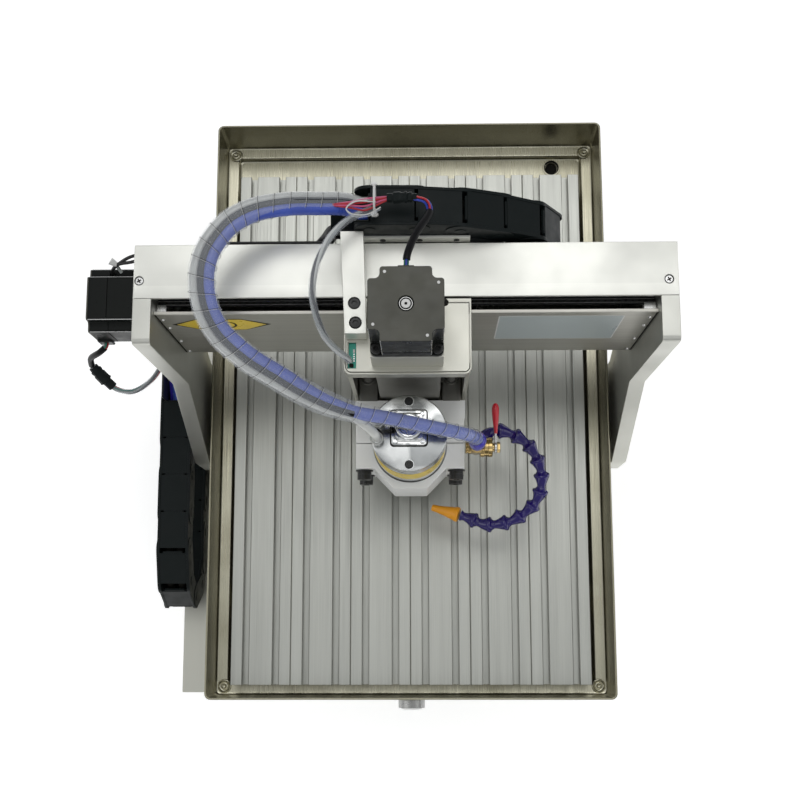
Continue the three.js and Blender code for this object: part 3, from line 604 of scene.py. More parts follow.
def make_tray():
    x0, x1, y0, y1, bottom, rim = span("coolant_tray")
    ledge, ledge_z, floor_z, drain = 14, -28, -36, (155, 286)

    def loop(inset, z, radius):
        outline = rounded(x0 + inset, x1 - inset, y0 + inset, y1 - inset, radius, 6)
        return [Vector((*point, z)) for point in outline]

    tray = Piece("tray_shell", STAINLESS, "coolant_tray")
    shape = [
        (14, bottom, 3), (2, bottom, 5), (0.6, bottom + 0.6, 6), (0, bottom + 2, 6), (0, rim - 0.7, 6),
        (0.3, rim - 0.2, 6), (0.8, rim, 6), (1.3, rim, 5), (1.8, rim - 0.3, 4.5), (2, rim - 1, 4),
        (2, ledge_z + 2.5, 4), (2.7, ledge_z + 0.8, 4), (4.2, ledge_z, 4), (ledge - 1.6, ledge_z, 3),
        (ledge - 0.5, ledge_z - 0.5, 3), (ledge, ledge_z - 1.6, 3), (ledge, floor_z + 2, 3),
        (ledge + 0.6, floor_z + 0.6, 3), (ledge + 2, floor_z, 3),
    ]
    tray.skin([loop(*row) for row in shape], caps=False)
    inset = ledge + 1
    inner = rounded(x0 + inset, x1 - inset, y0 + inset, y1 - inset, 3, 6)
    tray.plate("z", [inner, circle(*drain, 7.5)], bottom, floor_z, edge=0.2).done()

    welds = Piece("tray_corner_welds", STAINLESS, body="base")
    inset = 10.5
    beads = [(0.2, 7), (1.4, 6.4), (1.7, 5.6), (1, 4.8), (0.9, 3.9), (1.5, 3.4), (1.6, 2.4), (0.9, 1.6)]
    for x, y in grid((x0 + inset, x1 - inset), (y0 + inset, y1 - inset)):
        welds.turned("z", x, y, [(ledge_z + rise, radius) for rise, radius in (*beads, (0.8, 0))])
    welds.done()

    spigot = Piece("tray_drain_spigot", [STAINLESS, INSIDE], body="base")
    # The bore, a plug deep in it and a thin band at its mouth are dark: painted shade in the drain hole.
    spigot.ring("z", *drain, bottom - 21, floor_z + 0.3, 6.9, 7.45, 1, 0.1)
    spigot.rod("z", *drain, bottom - 21, bottom - 5, 7, 1, 0.2)
    spigot.ring("z", *drain, bottom - 22, bottom - 0.1, 6.2, 7.4)
    spigot.ring("z", *drain, floor_z + 0.5, floor_z + 0.9, 7.2, 8.2, 1, 0.1)
    spigot.ring("z", *drain, floor_z, floor_z + 0.8, 7.4, 9.6)
    for z in (bottom - 20, bottom - 15, bottom - 10):
        spigot.turned("z", *drain, [(z, 7.3), (z + 0.3, 8.6), (z + 4, 7.3)])
    spigot.done()


def make_table():
    half, pitch, thick, length = 29.85, 60, 15, 530
    mouth, wide, lip, deep = 3.25, 5.75, 4.5, 9
    slot = mirrored([
        (mouth + 0.5, 0), (mouth, -0.5), (mouth, -lip), (wide, -lip - 0.3), (wide, -deep + 0.5),
        (wide - 0.5, -deep),
    ])
    outline = mirrored([
        (half - 0.5, -thick), (half, -thick + 0.5), (half, -0.6), (half - 0.6, 0),
        *[(u + pitch / 4, v) for u, v in slot],
    ])
    for i in range(6):
        x = (i - 2.5) * pitch
        plank = Piece(f"plank_{i + 1}", TABLE_METAL, f"table_plank_{i + 1}")
        plank.plate("y", [[(u + x, v) for u, v in outline]], -length / 2, length / 2, edge=0.3).done()
    for end in ("front", "rear"):
        node = f"table_bearer_{end}"
        x0, x1, *section = span(node)
        Piece(f"bearer_{end}", BLASTED, node).plate("x", [rounded(*section, 1.5)], x0, x1).done()


def make_base():
    for side, sign in (("left", -1), ("right", 1)):
        for end in ("front", "rear"):
            x0, x1, y0, y1, z0, z1 = span(f"foot_{end}_{side}")
            r = (x1 - x0) / 2
            foot = Piece(f"rubber_foot_{end}_{side}", RUBBER, f"foot_{end}_{side}")
            ribs = [(z0, r - 3), (z0 + 1, r - 1), (z0 + 3, r - 0.3), (z0 + 4, r - 1.4), (z0 + 5, r - 0.6)]
            foot.turned("z", x0 + r, (y0 + y1) / 2, [*ribs, (z1 - 1.5, r - 2.6), (z1, r - 4)]).done()

        node = "base_rail_right" if sign > 0 else "base_rail_left_with_chain_shelf"
        y0, y1, z0, z1 = -270, 300, -125, -95
        inner, outer, groove = sign * 175, sign * 195, sign * 2.2
        rail = Piece(f"base_rail_profile_{side}", [BLASTED, BLACK_STEEL, HOUSING_METAL], node)
        profile = [(inner, z0), (outer, z0)]
        for z in (-116, -104):
            lip = outer - groove
            profile += [(outer, z - 3), (lip, z - 2.2), (lip, z + 2.2), (outer, z + 3)]
        rail.plate("y", [[*profile, (outer, z1), (inner, z1)]], y0, y1, edge=0.5)
        for y in (-262, -110, 90, 240):
            rail.rod("z", (inner + outer) / 2, y, z1 + 0.1, z1 + 3, 4.6, 1)
        if sign < 0:
            shelf_x, _, shelf_y, *_ = span(node)
            low, top, face = -113, -110, -198
            bend = [(outer, low - 9), (outer, top), (shelf_x, top), (shelf_x, low), (face - 0.5, low)]
            rail.plate("y", [[*bend, (face, low - 0.6), (face, low - 9)]], shelf_y, 150, 2)
            for y in (-255, -135, -15, 105):
                rail.rod("x", y, low - 5, face, face - 1.5, 3, 1)
        rail.done()

    for end, away in (("front", -1), ("rear", 1)):
        x0, x1, y0, y1, z0, z1 = span(f"{end}_end_plate")
        plate = Piece(f"{end}_end_casting", [BLASTED, BLACK_STEEL, STEEL], f"{end}_end_plate")
        plate.plate("y", [rounded(x0, x1, z0, z1, 2), circle(0, SHAFT_Z, 7)], y0, y1, edge=0.6)
        face = y0 if away < 0 else y1
        plate.cap_screws("y", grid((-150, 150), (SHAFT_Z,)), face, face + 3.5 * away, 5, 1)
        plate.cap_screws("y", grid((-165, 165), (-55, -117)), face, face + 3 * away, 3.6, 1)
        if away < 0:
            plate.ring(*Y_LINE, y0 - 5, y0, 7.2, 19, 2)
            plate.cap_screws("y", circle(0, SHAFT_Z, 14, 4), y0 - 5, y0 - 7.5, 2.2, 1, 20)
        plate.done()


def motor(name, node, axis, face, u, v):
    """A NEMA 23 stepper: face is its flange's place on the axis, and it grows by 56 mm away from it."""
    half, inner, length, bolt = 28.5, 19.5, 56, 23.57
    away = -1 if axis == "x" else 1
    piece = Piece(name, [MOTOR_BODY, MOTOR_CAP, BLACK_STEEL, STEEL, WHITE], node)

    def along(*places):
        return [face + away * w for w in places]

    def outline(grow):
        h, n = half + grow, inner + grow
        corner = arc(h - 2, n - 2, 2, 0, 90, 4) + arc(n + 4, n + 4, 4, 270, 180, 5)
        corner += arc(n - 2, h - 2, 2, 0, 90, 4)
        turns = ((1, 0), (0, 1), (-1, 0), (0, -1))
        return [(u + p * c - q * s, v + p * s + q * c) for c, s in turns for p, q in corner]

    def slab(loops, start, end, look=0, edge=0.5):
        piece.plate(axis, loops, *sorted(along(start, end)), look, edge)

    corners = grid((-1, 1), (-1, 1))
    holes = [circle(u + a * bolt, v + b * bolt, 2.6, 20) for a, b in corners]
    slab([rounded(u - half, u + half, v - half, v + half, 4.5), *holes], 0, 5)
    for start, end, grow in ((4.8, 14, 0), (14.2, 38, -0.35), (38.2, 54.4, 0)):
        slab([outline(grow)], start, end)
    slab([outline(-0.2), circle(u, v, 6, 32)], 54.4, length - 0.2, 1, 0.4)
    piece.rod(axis, u, v, *along(54.2, 54.8), 5.9, 0, 0.1)
    piece.ring(axis, u, v, *along(54.8, 55.2), 4.5, 5.0, 3, 0.1)
    piece.ring(axis, u, v, *along(54.8, 55.6), 1.1, 3.5, 4, 0.2)
    first = math.degrees(0.575)  # the long screws' ends
    for place in arc(u, v, 28.9, first, first + 270, 3):
        piece.rod(axis, *place, *along(55.6, length), 1.2, 4, 0.1, 16)
    for a, b in corners:
        piece.cap_screw(axis, u + a * bolt, v + b * bolt, *along(5, 9.5), 4.2, 2, 24)
        # Thin steel lines along the notched corners' edges: bare worn edges, painted bright for the
        # highlight that the edges catch.
        for p, q in ((27.9, 18.9), (18.9, 27.9)):
            piece.rod(axis, u + a * p, v + b * q, *along(5.2, 54), 0.35, 3, 0.1, 8)
    return piece


def make_y_axis():
    for side in ("left", "right"):
        x0, x1, y0, y1, *_ = span(f"y_guide_shaft_{side}")
        shaft = Piece(f"y_shaft_{side}", GROUND, f"y_guide_shaft_{side}")
        shaft.rod("y", (x0 + x1) / 2, SHAFT_Z, y0, y1, 10, 0, 0.8).done()
    y0, y1 = span("y_ball_screw")[2:4]
    screw = Piece("y_screw_spindle", GROUND, "y_ball_screw")
    screw.rods(Y_LINE, y0, 6, -252, 8, -240).thread(*Y_LINE, -240, 228, 8, 7, 5)
    screw.rods(Y_LINE, 228, 8, 239.7, 5, y1).done()

    y0, y1 = span("hand_knob")[2:4]
    knob = Piece("knurled_knob", [STEEL, BLACK_STEEL], "hand_knob")
    teeth = []
    for i in range(64):
        for share, radius in ((0.0, 13.3), (0.3, 14.0), (0.6, 14.0), (0.85, 13.3)):
            angle = 2 * math.pi * (i + share) / 64
            teeth.append((radius * math.cos(angle), SHAFT_Z + radius * math.sin(angle)))
    knob.plate("y", [teeth], y0 + 1.6, y1 - 4.4, edge=0.5)
    knob.turned(*Y_LINE, [(y0, 0), (y0, 9), (y0 + 0.3, 10.2), (y0 + 1.8, 13.0), (y0 + 2.4, 13.2)])
    knob.rod(*Y_LINE, y1 - 4.8, y1, 10.5).rod("z", 0, y1 - 2.2, -76, -74.3, 1.6, 1, 0.2, 20).done()

    motor("y_stepper", "y_motor", "y", 255.3, *Y_LINE[1:]).done()


make_tray()
make_table()
make_base()
make_y_axis()

# ---------------------------------------------------------------- gantry


def leg_outline():
    step, top, nose = 287.7, 292, 5
    points = [(-42, -63), (62, -63), (62, 0), (100, 120), (100, step), (54.7, step), (54.7, top)]
    return points + arc(17 + nose, top - nose, nose, 90, 180, 5) + [(17, 120), (-42, -6)]


def make_legs():
    bolts = [(-25, -57), (10, -57), (45, -57), (70, 246), (70, 150), (90, 170), (90, 262)]
    seats = [circle(y, z, 4.4, 24) for y, z in bolts]
    for side, sign in (("left", -1), ("right", 1)):
        inner, outer = sign * 206.5, sign * 221.5
        leg = Piece(f"leg_{side}", [LEG_METAL, BLACK_STEEL, STEEL], f"gantry_leg_{side}")
        leg.plate("x", [leg_outline(), *seats, circle(*X_LINE[1:], 9.5)], inner, outer, edge=0.7)
        for y, z in bolts:
            leg.rod("x", y, z, inner, outer - sign * 4, 4.3, 0, 0.1, 24)
            leg.cap_screw("x", y, z, outer - sign * 4, outer - sign * 0.5, 3.9, 1)
        if sign > 0:
            leg.rod(*X_LINE, inner, outer - 2, 9.3, 2, 0.3)
            leg.ring(*X_LINE, outer - 2, outer - 0.4, 5.2, 9.2, 2, 0.2)
        else:
            leg.ring(*X_LINE, inner, outer, 5.6, 9.3, 2, 0.3)
        leg.done()


def make_covers():
    x0, x1, y0, y1, z0, z1 = span("beam_top_cover")
    screws = ((-216.8, 69.8), (213.6, 68.4))
    top = Piece("folded_top_cover", [BLASTED, STEEL, INSIDE], "beam_top_cover")
    sheet = [(x0, y0), (x1, y0), (x1, y1), (x0, y1)]
    top.plate("z", [sheet, *[circle(*screw, 3.7, 28) for screw in screws]], z0, z1, edge=0.7)
    for screw in screws:
        # A dark fill in each screw hole, seen as a ring round the head, is painted shade.
        top.rod("z", *screw, z0, z1 - 1.1, 3.6, 2, 0.1)
        top.cross_screw("z", *screw, z1 - 1.1, 1, 3.1, 1, 2)
    top.done()

    x0, x1, y0, y1, z0, z1 = span("beam_front_cover")
    front = Piece("brushed_front_cover", [BEAM_METAL, STEEL, INSIDE], "beam_front_cover")
    front.plate("y", [[(x0, z0), (x1, z0), (x1, z1), (x0, z1)]], y0, y1, edge=0.5)
    for x, z in grid((-202.3, 202.3), (262.8, 234, 184, 142)):
        front.turned("y", x, z, [(y0, 2.1), (y0 - 0.8, 1.7), (y0 - 1.2, 0.8)], 1, 24)
    # Thin dark strips at the cover's ends, where it meets the legs, are painted shade in the gap.
    for x0, x1 in ((-206.2, -204.9), (204.9, 206.2)):
        front.box(x0, x1, y0 - 0.15, y0, z0 + 1, z1 - 1, 2, 0.05)
    front.done()

    stickers = Piece("blank_stickers", [YELLOW, INSIDE, LABEL, WHITE], body="gantry")
    for grow, look, depth in ((1.3, 1, 0.12), (0.0, 0, 0.2)):
        left, right, high, low = -194 - 3 * grow, -118 + 3 * grow, 263 + grow, 228 - grow
        lens = [(left, 246), (-175, low), (-137, low), (right, 246), (-137, high), (-175, high)]
        stickers.plate("y", [lens], y0 - depth, y0, look, 0.03)
    stickers.ring("y", -156, 245, y0 - 0.3, y0 - 0.2, 11, 13, 1, 0.03)
    stickers.plate("y", [rounded(77, 181, 186, 269, 2)], y0 - 0.12, y0, 3, 0.03)
    stickers.plate("y", [rounded(78, 180, 187, 268, 1.5)], y0 - 0.2, y0, 2, 0.03).done()

    strip = Piece("channel_strip", [BLACK_PLATE, STEEL, INSIDE], body="gantry")
    end = 206
    strip.box(-end, end, 54.5, 95, 264, 267, 0, 0.3)
    for y in (55.6, 58.6, 61.4):
        strip.box(-end, end, y - 0.25, y + 0.25, 266.9, 267.5, 1, 0.1)
    for i in range(72):
        strip.rod("z", (i - 35.5) * 5.6, 57.1, 266.9, 267.4, 1.0, 2, 0.1, 12)
    for x0, x1 in ((-end, -198.2), (196, end)):
        strip.box(x0, x1, 48.2, 54.6, 262, 272, 1, 0.5)
    strip.done()

    node = "beam_back_plate_with_chain_shelf"
    back = Piece("back_plate", [BLACK_PLATE, BLACK_STEEL], node)
    x0, x1, _, shelf_back, z0, z1 = span(node)
    face, low, high = 99.7, 213.8, 216.8
    back.box(x0, x1, 96, face, z0, z1)
    bend = [(99, low), (shelf_back, low), (shelf_back, high), (103.4, high), (103, high + 0.4)]
    back.plate("x", [[*bend, (103, 229), (face, 229)]], -182, 200, 0, 0.3)
    back.box(-182, -72, shelf_back - 1.6, shelf_back, 216, 226, 0, 0.4)
    back.cap_screws("y", grid(range(-150, 151, 60), (223,)), 103, 105, 2.6, 1, 24)
    back.cap_screws("y", grid(range(-180, 181, 90), (150, 275)), face, face + 2.2, 3, 1, 24).done()


def make_cross_plate():
    node, low, high = "gantry_cross_plate_with_nut", -63, -51
    cross = Piece("cross_plate", [BLASTED, BLACK_STEEL, BRASS, STEEL], node)
    cross.box(*span(node)[:4], low, high, 0, 0.8)
    cross.plate("y", [rounded(-22, 22, -107, low, 2), circle(0, SHAFT_Z, 8.6)], -15, 35, 0, 0.6)
    cross.ring(*Y_LINE, -20, -15.1, 8.6, 17, 3).ring(*Y_LINE, 35.1, 43, 8.6, 13, 2)
    cross.cap_screws("y", circle(0, SHAFT_Z, 13, 6), -20, -22.5, 2.2, 1, 20)
    cross.cap_screws("z", grid((-165, -135, 135, 165), (-25, 0, 25, 50)), high, high + 4, 4, 1)
    cross.cap_screws("z", grid((-15, 15), (0, 22)), high, high + 4, 4, 1).done()

    for side in ("left", "right"):
        node = f"y_bearing_block_{side}"
        x0, x1, y0, y1, z0, z1 = span(node)
        middle = ((x0 + x1) / 2, SHAFT_Z)
        block = Piece(f"linear_bearing_{side}", [BLASTED, RUBBER], node)
        block.plate("y", [rounded(x0, x1, z0, z1, 2), circle(*middle, 14)], y0, y1, 0, 0.6)
        block.ring("y", *middle, y0 + 1.2, y1 - 1.2, 10.4, 14, 1).done()


def make_x_axis():
    for place in ("upper", "lower"):
        node = f"x_guide_shaft_{place}"
        x0, x1, y0, y1, z0, z1 = span(node)
        shaft = Piece(f"x_shaft_{place}", GROUND, node)
        shaft.rod("x", (y0 + y1) / 2, (z0 + z1) / 2, x0, x1, (z1 - z0) / 2, 0, 0.8).done()
    x0, x1 = span("x_ball_screw")[:2]
    screw = Piece("x_screw_spindle", GROUND, "x_ball_screw")
    screw.rods(X_LINE, x0, 5, -206, 8, -194).thread(*X_LINE, -194, 194, 8, 7, 5)
    screw.rods(X_LINE, 194, 8, x1).done()
    drive = motor("x_stepper", "x_motor", "x", -221.8, *X_LINE[1:])
    drive.box(-276.5, -263.5, 42.6, 45, 175, 189, 2, 0.6).done()


def wires(piece, path, looks, radius, spread, twist=0.0):
    """Wires lying round a path, which may twist about it."""
    for i, look in enumerate(looks):
        start = 2 * math.pi * i / len(looks)
        route = offset_path(
            path,
            lambda share: spread * math.cos(start + twist * share),
            lambda share: spread * math.sin(start + twist * share),
        )
        piece.tube(route, radius, look, 8)


def stepped(*steps):
    """A radius that changes at each length: steps are (length that it ends at, radius)."""
    return lambda length: next(radius for end, radius in steps if length < end)


def make_gantry_wiring():
    riser = smooth_path([
        (-241, 22.4, -9.5), (-241, 28, -9.5), (-241, 38, -5), (-241, 54, 6), (-240, 76, 26),
        (-233, 98, 60), (-223, 112, 100), (-213, 116, 148), (-204, 115, 185), (-190, 113.5, 201),
        (-165, 113.5, 204.5), (-110, 113.5, 204.5), (-92, 114, 204.5), (-80, 121, 204),
        (-71, 129, 207), (-66.5, 132, 215), (-63.5, 132, 223), (-57.5, 130, 229.5),
        (-51, 129, 231), (-46.2, 129, 231),
    ])
    shown = next(i for i, point in enumerate(riser) if point.z > 150)
    hoses = Piece("riser_hoses", [VIOLET, BLUE, SLEEVE], "gantry_wiring")
    leaning = [p - Vector((2.5, 0, 0)) * min(1.0, max(0.0, (90 - p.z) / 60)) for p in riser[: shown + 1]]
    wires(hoses, leaning, (0, 1, 0, 2), 3.3, 3.7)
    hoses.tube(riser[shown:], 6.4, 2, 20).done()

    looks = [SLEEVE, WIRES["grey"], WIRES["green"], WIRES["red"], WIRES["black"], WRAP, NYLON, WHITE]
    lead = Piece("x_motor_lead", looks, body="gantry")
    sleeve = smooth_path([
        (-270, 43.8, 182), (-270, 40.5, 182), (-276, 36, 178), (-289, 34, 160), (-293, 31, 143),
    ], 1.5)
    wires(lead, sleeve[:6], (1, 2, 3, 4), 0.9, 1.3)
    lead.tube(sleeve[4:], 2.9, 0, 12)
    wires(lead, sleeve[-4:], (1, 2, 3, 4), 0.9, 1.8)
    plug = smooth_path([(-292.5, 30, 140), (-285, 21.7, 133), (-276.5, 13.6, 125.6)], 1)
    profile = stepped((4, 4.4), (7, 5.4), (9, 5.0), (17, 5.7), (18.5, 6.1), (99, 4.4))
    lead.tube(plug, profile, 6, 8, 0.75)
    tail = smooth_path([
        (-278, 15, 127), (-274, 12, 124), (-260, 10, 120), (-245, 19, 118), (-236, 34, 112),
        (-232, 62, 100), (-228, 92, 86), (-227, 110, 92),
    ])
    wires(lead, tail, (1, 2, 3, 4), 0.9, 1.35, 9.0)
    lead.tube(tail, 2.9, 5, 12)
    for shift in (-2.4, 2.4):
        lead.wire([
            (-207, 104 + shift, 238), (-222, 106 + shift, 240), (-238, 104 + shift, 237),
            (-250, 101, 232), (-256, 98, 225), (-258, 95 + shift, 214),
        ], 1.5, 4)
    boot = [Vector((-256, 104, 234)), Vector((-250.5, 101, 231))]
    lead.tube(boot, lambda length: 3.4 - length * 0.2, 7)
    lead.tube([Vector((-252, 102, 232)), Vector((-248, 96, 225))], 1.5, 1, 12).done()


# ---------------------------------------------------------------- drag chains

CHAIN_WIDE = 34


def chain(name, node, axis, low, joints, blend=None, turned_in=0):
    """Links between joints in the plane of travel. Their side plates lie outside and inside in turn."""
    high, half, wall, gap = low + CHAIN_WIDE, 12.4, 2.6, 3.0
    piece = Piece(name, [NYLON, INSIDE], node)
    for i, (a, b) in enumerate(zip(joints, joints[1:])):
        a, b = Vector(a), Vector(b)
        along, length = (b - a).normalized(), (b - a).length
        across = Vector((-along.y, along.x))
        angle = math.degrees(math.atan2(along.y, along.x))

        def lid(start, end, inner, outer, inset, edge):
            for near, far in ((inner, outer), (-outer, -inner)):
                corners = ((start, near), (end, near), (end, far), (start, far))
                outline = [tuple(a + along * s + across * n) for s, n in corners]
                piece.plate(axis, [outline], low + inset, high - inset, 0, edge)

        side = arc(*a, half, angle + 90, angle + 270, 12) + arc(*b, half, angle - 90, angle + 90, 12)
        inset = 0.5 if (i + turned_in) % 2 == 0 else 1.3
        for start in (low + inset, high - inset - wall):
            piece.plate(axis, [side], start, start + wall, 0, 0.5)
        lid(0.8, length - 0.8, half - 2.8, half - 0.6, gap, 0.5)
        lid(-1, 5, (half - 2.8) * 0.96, (half - 0.6) * 0.96, 7, 0.4)
        for start, end in ((low + 0.6, low), (high - 0.6, high)):
            piece.rod(axis, *a, start, end, 5, 0, 0.25, 32)
            piece.rod(axis, *a, start, end + (start - end) * 0.6, 2.4, 1, 0.1, 20)
    middle = low + CHAIN_WIDE / 2
    for shift in (-6, 6):
        piece.wire([placed(axis, *point, middle + shift) for point in joints], 4, 1)
    piece.done(blend)


def make_chains():
    y_side, y_top, y_base, x_back = -241, -9.5, -97, 121
    y_upper = [(22 - 38 * i, y_top) for i in range(5)]
    y_lower = [(30 - 34 * i, y_base) for i in range(6)]
    y_middle, x_middle = (-176.5, -53.2), (121, 246)
    x_upper = [(-28, 314.5), (8.5, 313.5), (45, 307.5)]
    x_lower = [(-45.6 + 32.6 * i, 230.1) for i in range(5)]
    y_plane, x_plane = ("x", y_side - CHAIN_WIDE / 2), ("y", x_back - CHAIN_WIDE / 2)

    top = ("y_bend_upper", (y_side, 22, y_top), (y_side, -130, y_top))
    chain("y_chain_top", "y_chain_upper_run", *y_plane, y_upper, top)
    curve = [y_upper[-1], (-161.5, -20.5), y_middle]
    chain("y_chain_curve_top", "y_chain_bend_upper", *y_plane, curve)
    chain("y_chain_curve_base", "y_chain_bend_lower", *y_plane, [y_middle, (-163, -84), (-140, y_base)])
    base = ("y_bend_lower", (y_side, 30, y_base), (y_side, -140, y_base))
    chain("y_chain_base", "y_chain_lower_run", *y_plane, y_lower, base)

    top = ("x_bend_upper", (-28, x_back, 314), (45, x_back, 307))
    chain("x_chain_top", "x_chain_upper_run", *x_plane, x_upper, top)
    curve = [x_upper[-1], (76, 294), (105, 275), x_middle]
    chain("x_chain_curve_top", "x_chain_bend_upper", *x_plane, curve)
    curve = [x_middle, (112, 232.5), (85, 230.1)]
    chain("x_chain_curve_base", "x_chain_bend_lower", *x_plane, curve, turned_in=1)
    base = ("x_bend_lower", (-45.6, x_back, 230), (85, x_back, 230))
    chain("x_chain_base", "x_chain_lower_run", *x_plane, x_lower, base)

    ends = Piece("x_chain_end_bracket", [NYLON, STEEL], body="carriage")
    ends.box(-60, -41, 105, 137, 300, 302.2)
    ear = [(-60, 300), (-41, 300), (-41, 305), (-43, 306.5), (-60, 306.5)]
    ends.plate("y", [ear], 104, 107).plate("y", [ear], 135, 138)
    for y in (113, 129):
        ends.cross_screw("z", -51, y, 302.2, 1, 2.6, 1, 0)
    ends.done()
    shoe = Piece("y_chain_end_bracket", [BLACK_PLATE, STEEL], body="gantry")
    bend = [(-222, -22.2), (-250.6, -22.2), (-251.2, -21.6), (-251.2, 22), (-253, 22)]
    shoe.plate("y", [[(-253, -24), (-222, -24), *bend]], 22.5, 50, 0, 0.3)
    shoe.cap_screws("x", grid((36,), (-8, 8)), -253, -255, 2.4, 1, 24).done()


make_legs()
make_covers()
make_cross_plate()
make_x_axis()
make_gantry_wiring()
make_chains()

# ---------------------------------------------------------------- carriage and Z axis

ON_CARRIAGE = Matrix.Translation((CX, 0, 0))


def carried(name, looks, node=None, body="carriage", slot=None):
    """A piece drawn from the carriage's own centre line. It rides on its node's body, if it has a node."""
    return Piece(name, looks, node, body, slot, ON_CARRIAGE)


def make_carriage():
    carrier = carried("x_bearing_casting", [BLASTED, RUBBER], "x_bearing_carrier")
    section = [(41.3, 120), (86, 120), (86, 262), (53.5, 262), (53.5, 283.7), (48.5, 283.7)]
    section += [(48.5, 134), (41.3, 134)]
    bores = [(70, 246, 13), (70, 150, 13), (*X_LINE[1:], 11)]
    carrier.plate("x", [section, *[circle(*bore) for bore in bores]], -48, 48, 0, 0.6)
    for (y, z, outer), inner in zip(bores, (8.4, 8.4, 8.7)):
        carrier.ring("x", y, z, -47, 47, inner, outer, 1, 0.5)
    carrier.done()

    half, front, rear, top, nose, sheet = 51.5, -9, 53.5, 292, 6, 1.8
    housing = carried("z_housing_shell", [HOUSING_METAL, INSIDE, BLACK_STEEL, SHADED_METAL], "z_housing")

    def lip(inset):
        corner = arc(half - nose, front + nose, nose - inset, 270, 360, 6)
        return mirrored([*corner, (half - inset, rear - 2 * inset)])

    centre = Z_LINE[1:]
    window = [(-48.2, -4), (-41.5, -4), (-41.5, 17), (-48.2, 17)]
    housing.plate("z", [lip(0), lip(sheet)], 278, top - 0.6, 0, 0.5)
    housing.plate("z", [lip(sheet + 0.25), circle(*centre, 14), window], 284, top)
    for x0, x1 in ((-half, -half + 4), (half - 4, half)):
        housing.plate("x", [[(0, 110), (36.2, 96), (36.2, 291), (0, 291)]], x0, x1, 0, 0.6)
    housing.box(-half, half, 36, 41, 92, 291, 0, 0.6)
    # A thin dark sheet across the hollow behind the rods is painted shade.
    housing.box(-47.4, 47.4, 35.3, 36.1, 100, 284, 1, 0.2)
    housing.plate("z", [mirrored([(half, -3), (half, 40)]), circle(*centre, 5.6)], 92, 100)
    housing.box(-27, 27, -3, -1, 93, 284, 3)
    for x, z in grid((-21, 21), (272, 108)):
        housing.cross_screw("y", x, z, -3, -1, 2.4, 2, 1)
    block = mirrored([(28.5, -2.5), (28.5, rear)])
    housing.plate("z", [block, circle(*centre, 19)], 291.6, 326.7, 0, 0.6)
    housing.rod("z", 30, 50, top, top + 0.3, 3.2, 1, 0.1)
    for side in (-1, 1):
        housing.cross_screw("x", 14, 283, side * half, side, 2, 2, 1)
    housing.done()

    board = carried("switch_board", [BOARD, WHITE, INSIDE, STEEL])
    low, high = 288, 289.6
    board.box(-49.1, -41.6, -3.9, 16.9, low, high, 0, 0.2)
    board.box(-47, -43.5, -3, 0, high, high + 1.2, 2, 0.3)
    board.box(-44, -42.4, 9, 12, high, high + 0.8, 1, 0.2)
    for i in range(4):
        board.rod("z", -43.2, 2.4 + 1.8 * i, high, high + 0.6, 0.6, 3, 0.1, 12)
    board.done()

    for side, x in (("left", -38), ("right", 38)):
        rod = carried(f"z_rod_{side}", GROUND, f"z_guide_rod_{side}")
        rod.rod("z", x, 17, 100.3, 283.7, 6, 0, 0.6).done()
    screw = carried("z_screw_spindle", [GROUND, STEEL], "z_ball_screw")
    screw.rods(Z_LINE, 93, 5, 100, 6, 104).thread(*Z_LINE, 104, 280, 6, 5.2, 5)
    screw.rods(Z_LINE, 280, 6, 283, 5, 296).rod(*Z_LINE, 296, 326.4, 9, 1).done()
    drive = motor("z_stepper", "z_motor", "z", 327, CX, centre[1])
    drive.box(CX - 7, CX + 7, 53, 56, 364, 380, 2, 1).done()

    arm = carried("bracket_arm", [BLASTED, BLACK_STEEL], "chain_bracket_arm")
    screws = [(-41.9, 44.2), (-40.9, 28.3)]
    strap = [(-49.5, 19.5), (-32, 19.5), (-35, 103.5), (-53.5, 103.5)]
    arm.plate("z", [strap, *[circle(*screw, 4.9, 28) for screw in screws]], 309, 314, 0, 0.5)
    for screw in screws:
        arm.rod("z", *screw, 309.2, 311.4, 4.8, 1, 0.1).cap_screw("z", *screw, 311.4, 313.6, 4.2, 1)
    arm.box(-49.5, -32.5, 19.5, 50, 292.3, 309.2)
    arm.box(-53.5, -35, 100.6, 103.5, 289, 310, 0, 0.4)
    arm.box(-53.5, 51, 101.5, 103.5, 289, 301, 0, 0.3)
    arm.cap_screws("y", grid((-20, 10, 40), (295,)), 101.5, 100.7, 2.4, 1, 24).done()


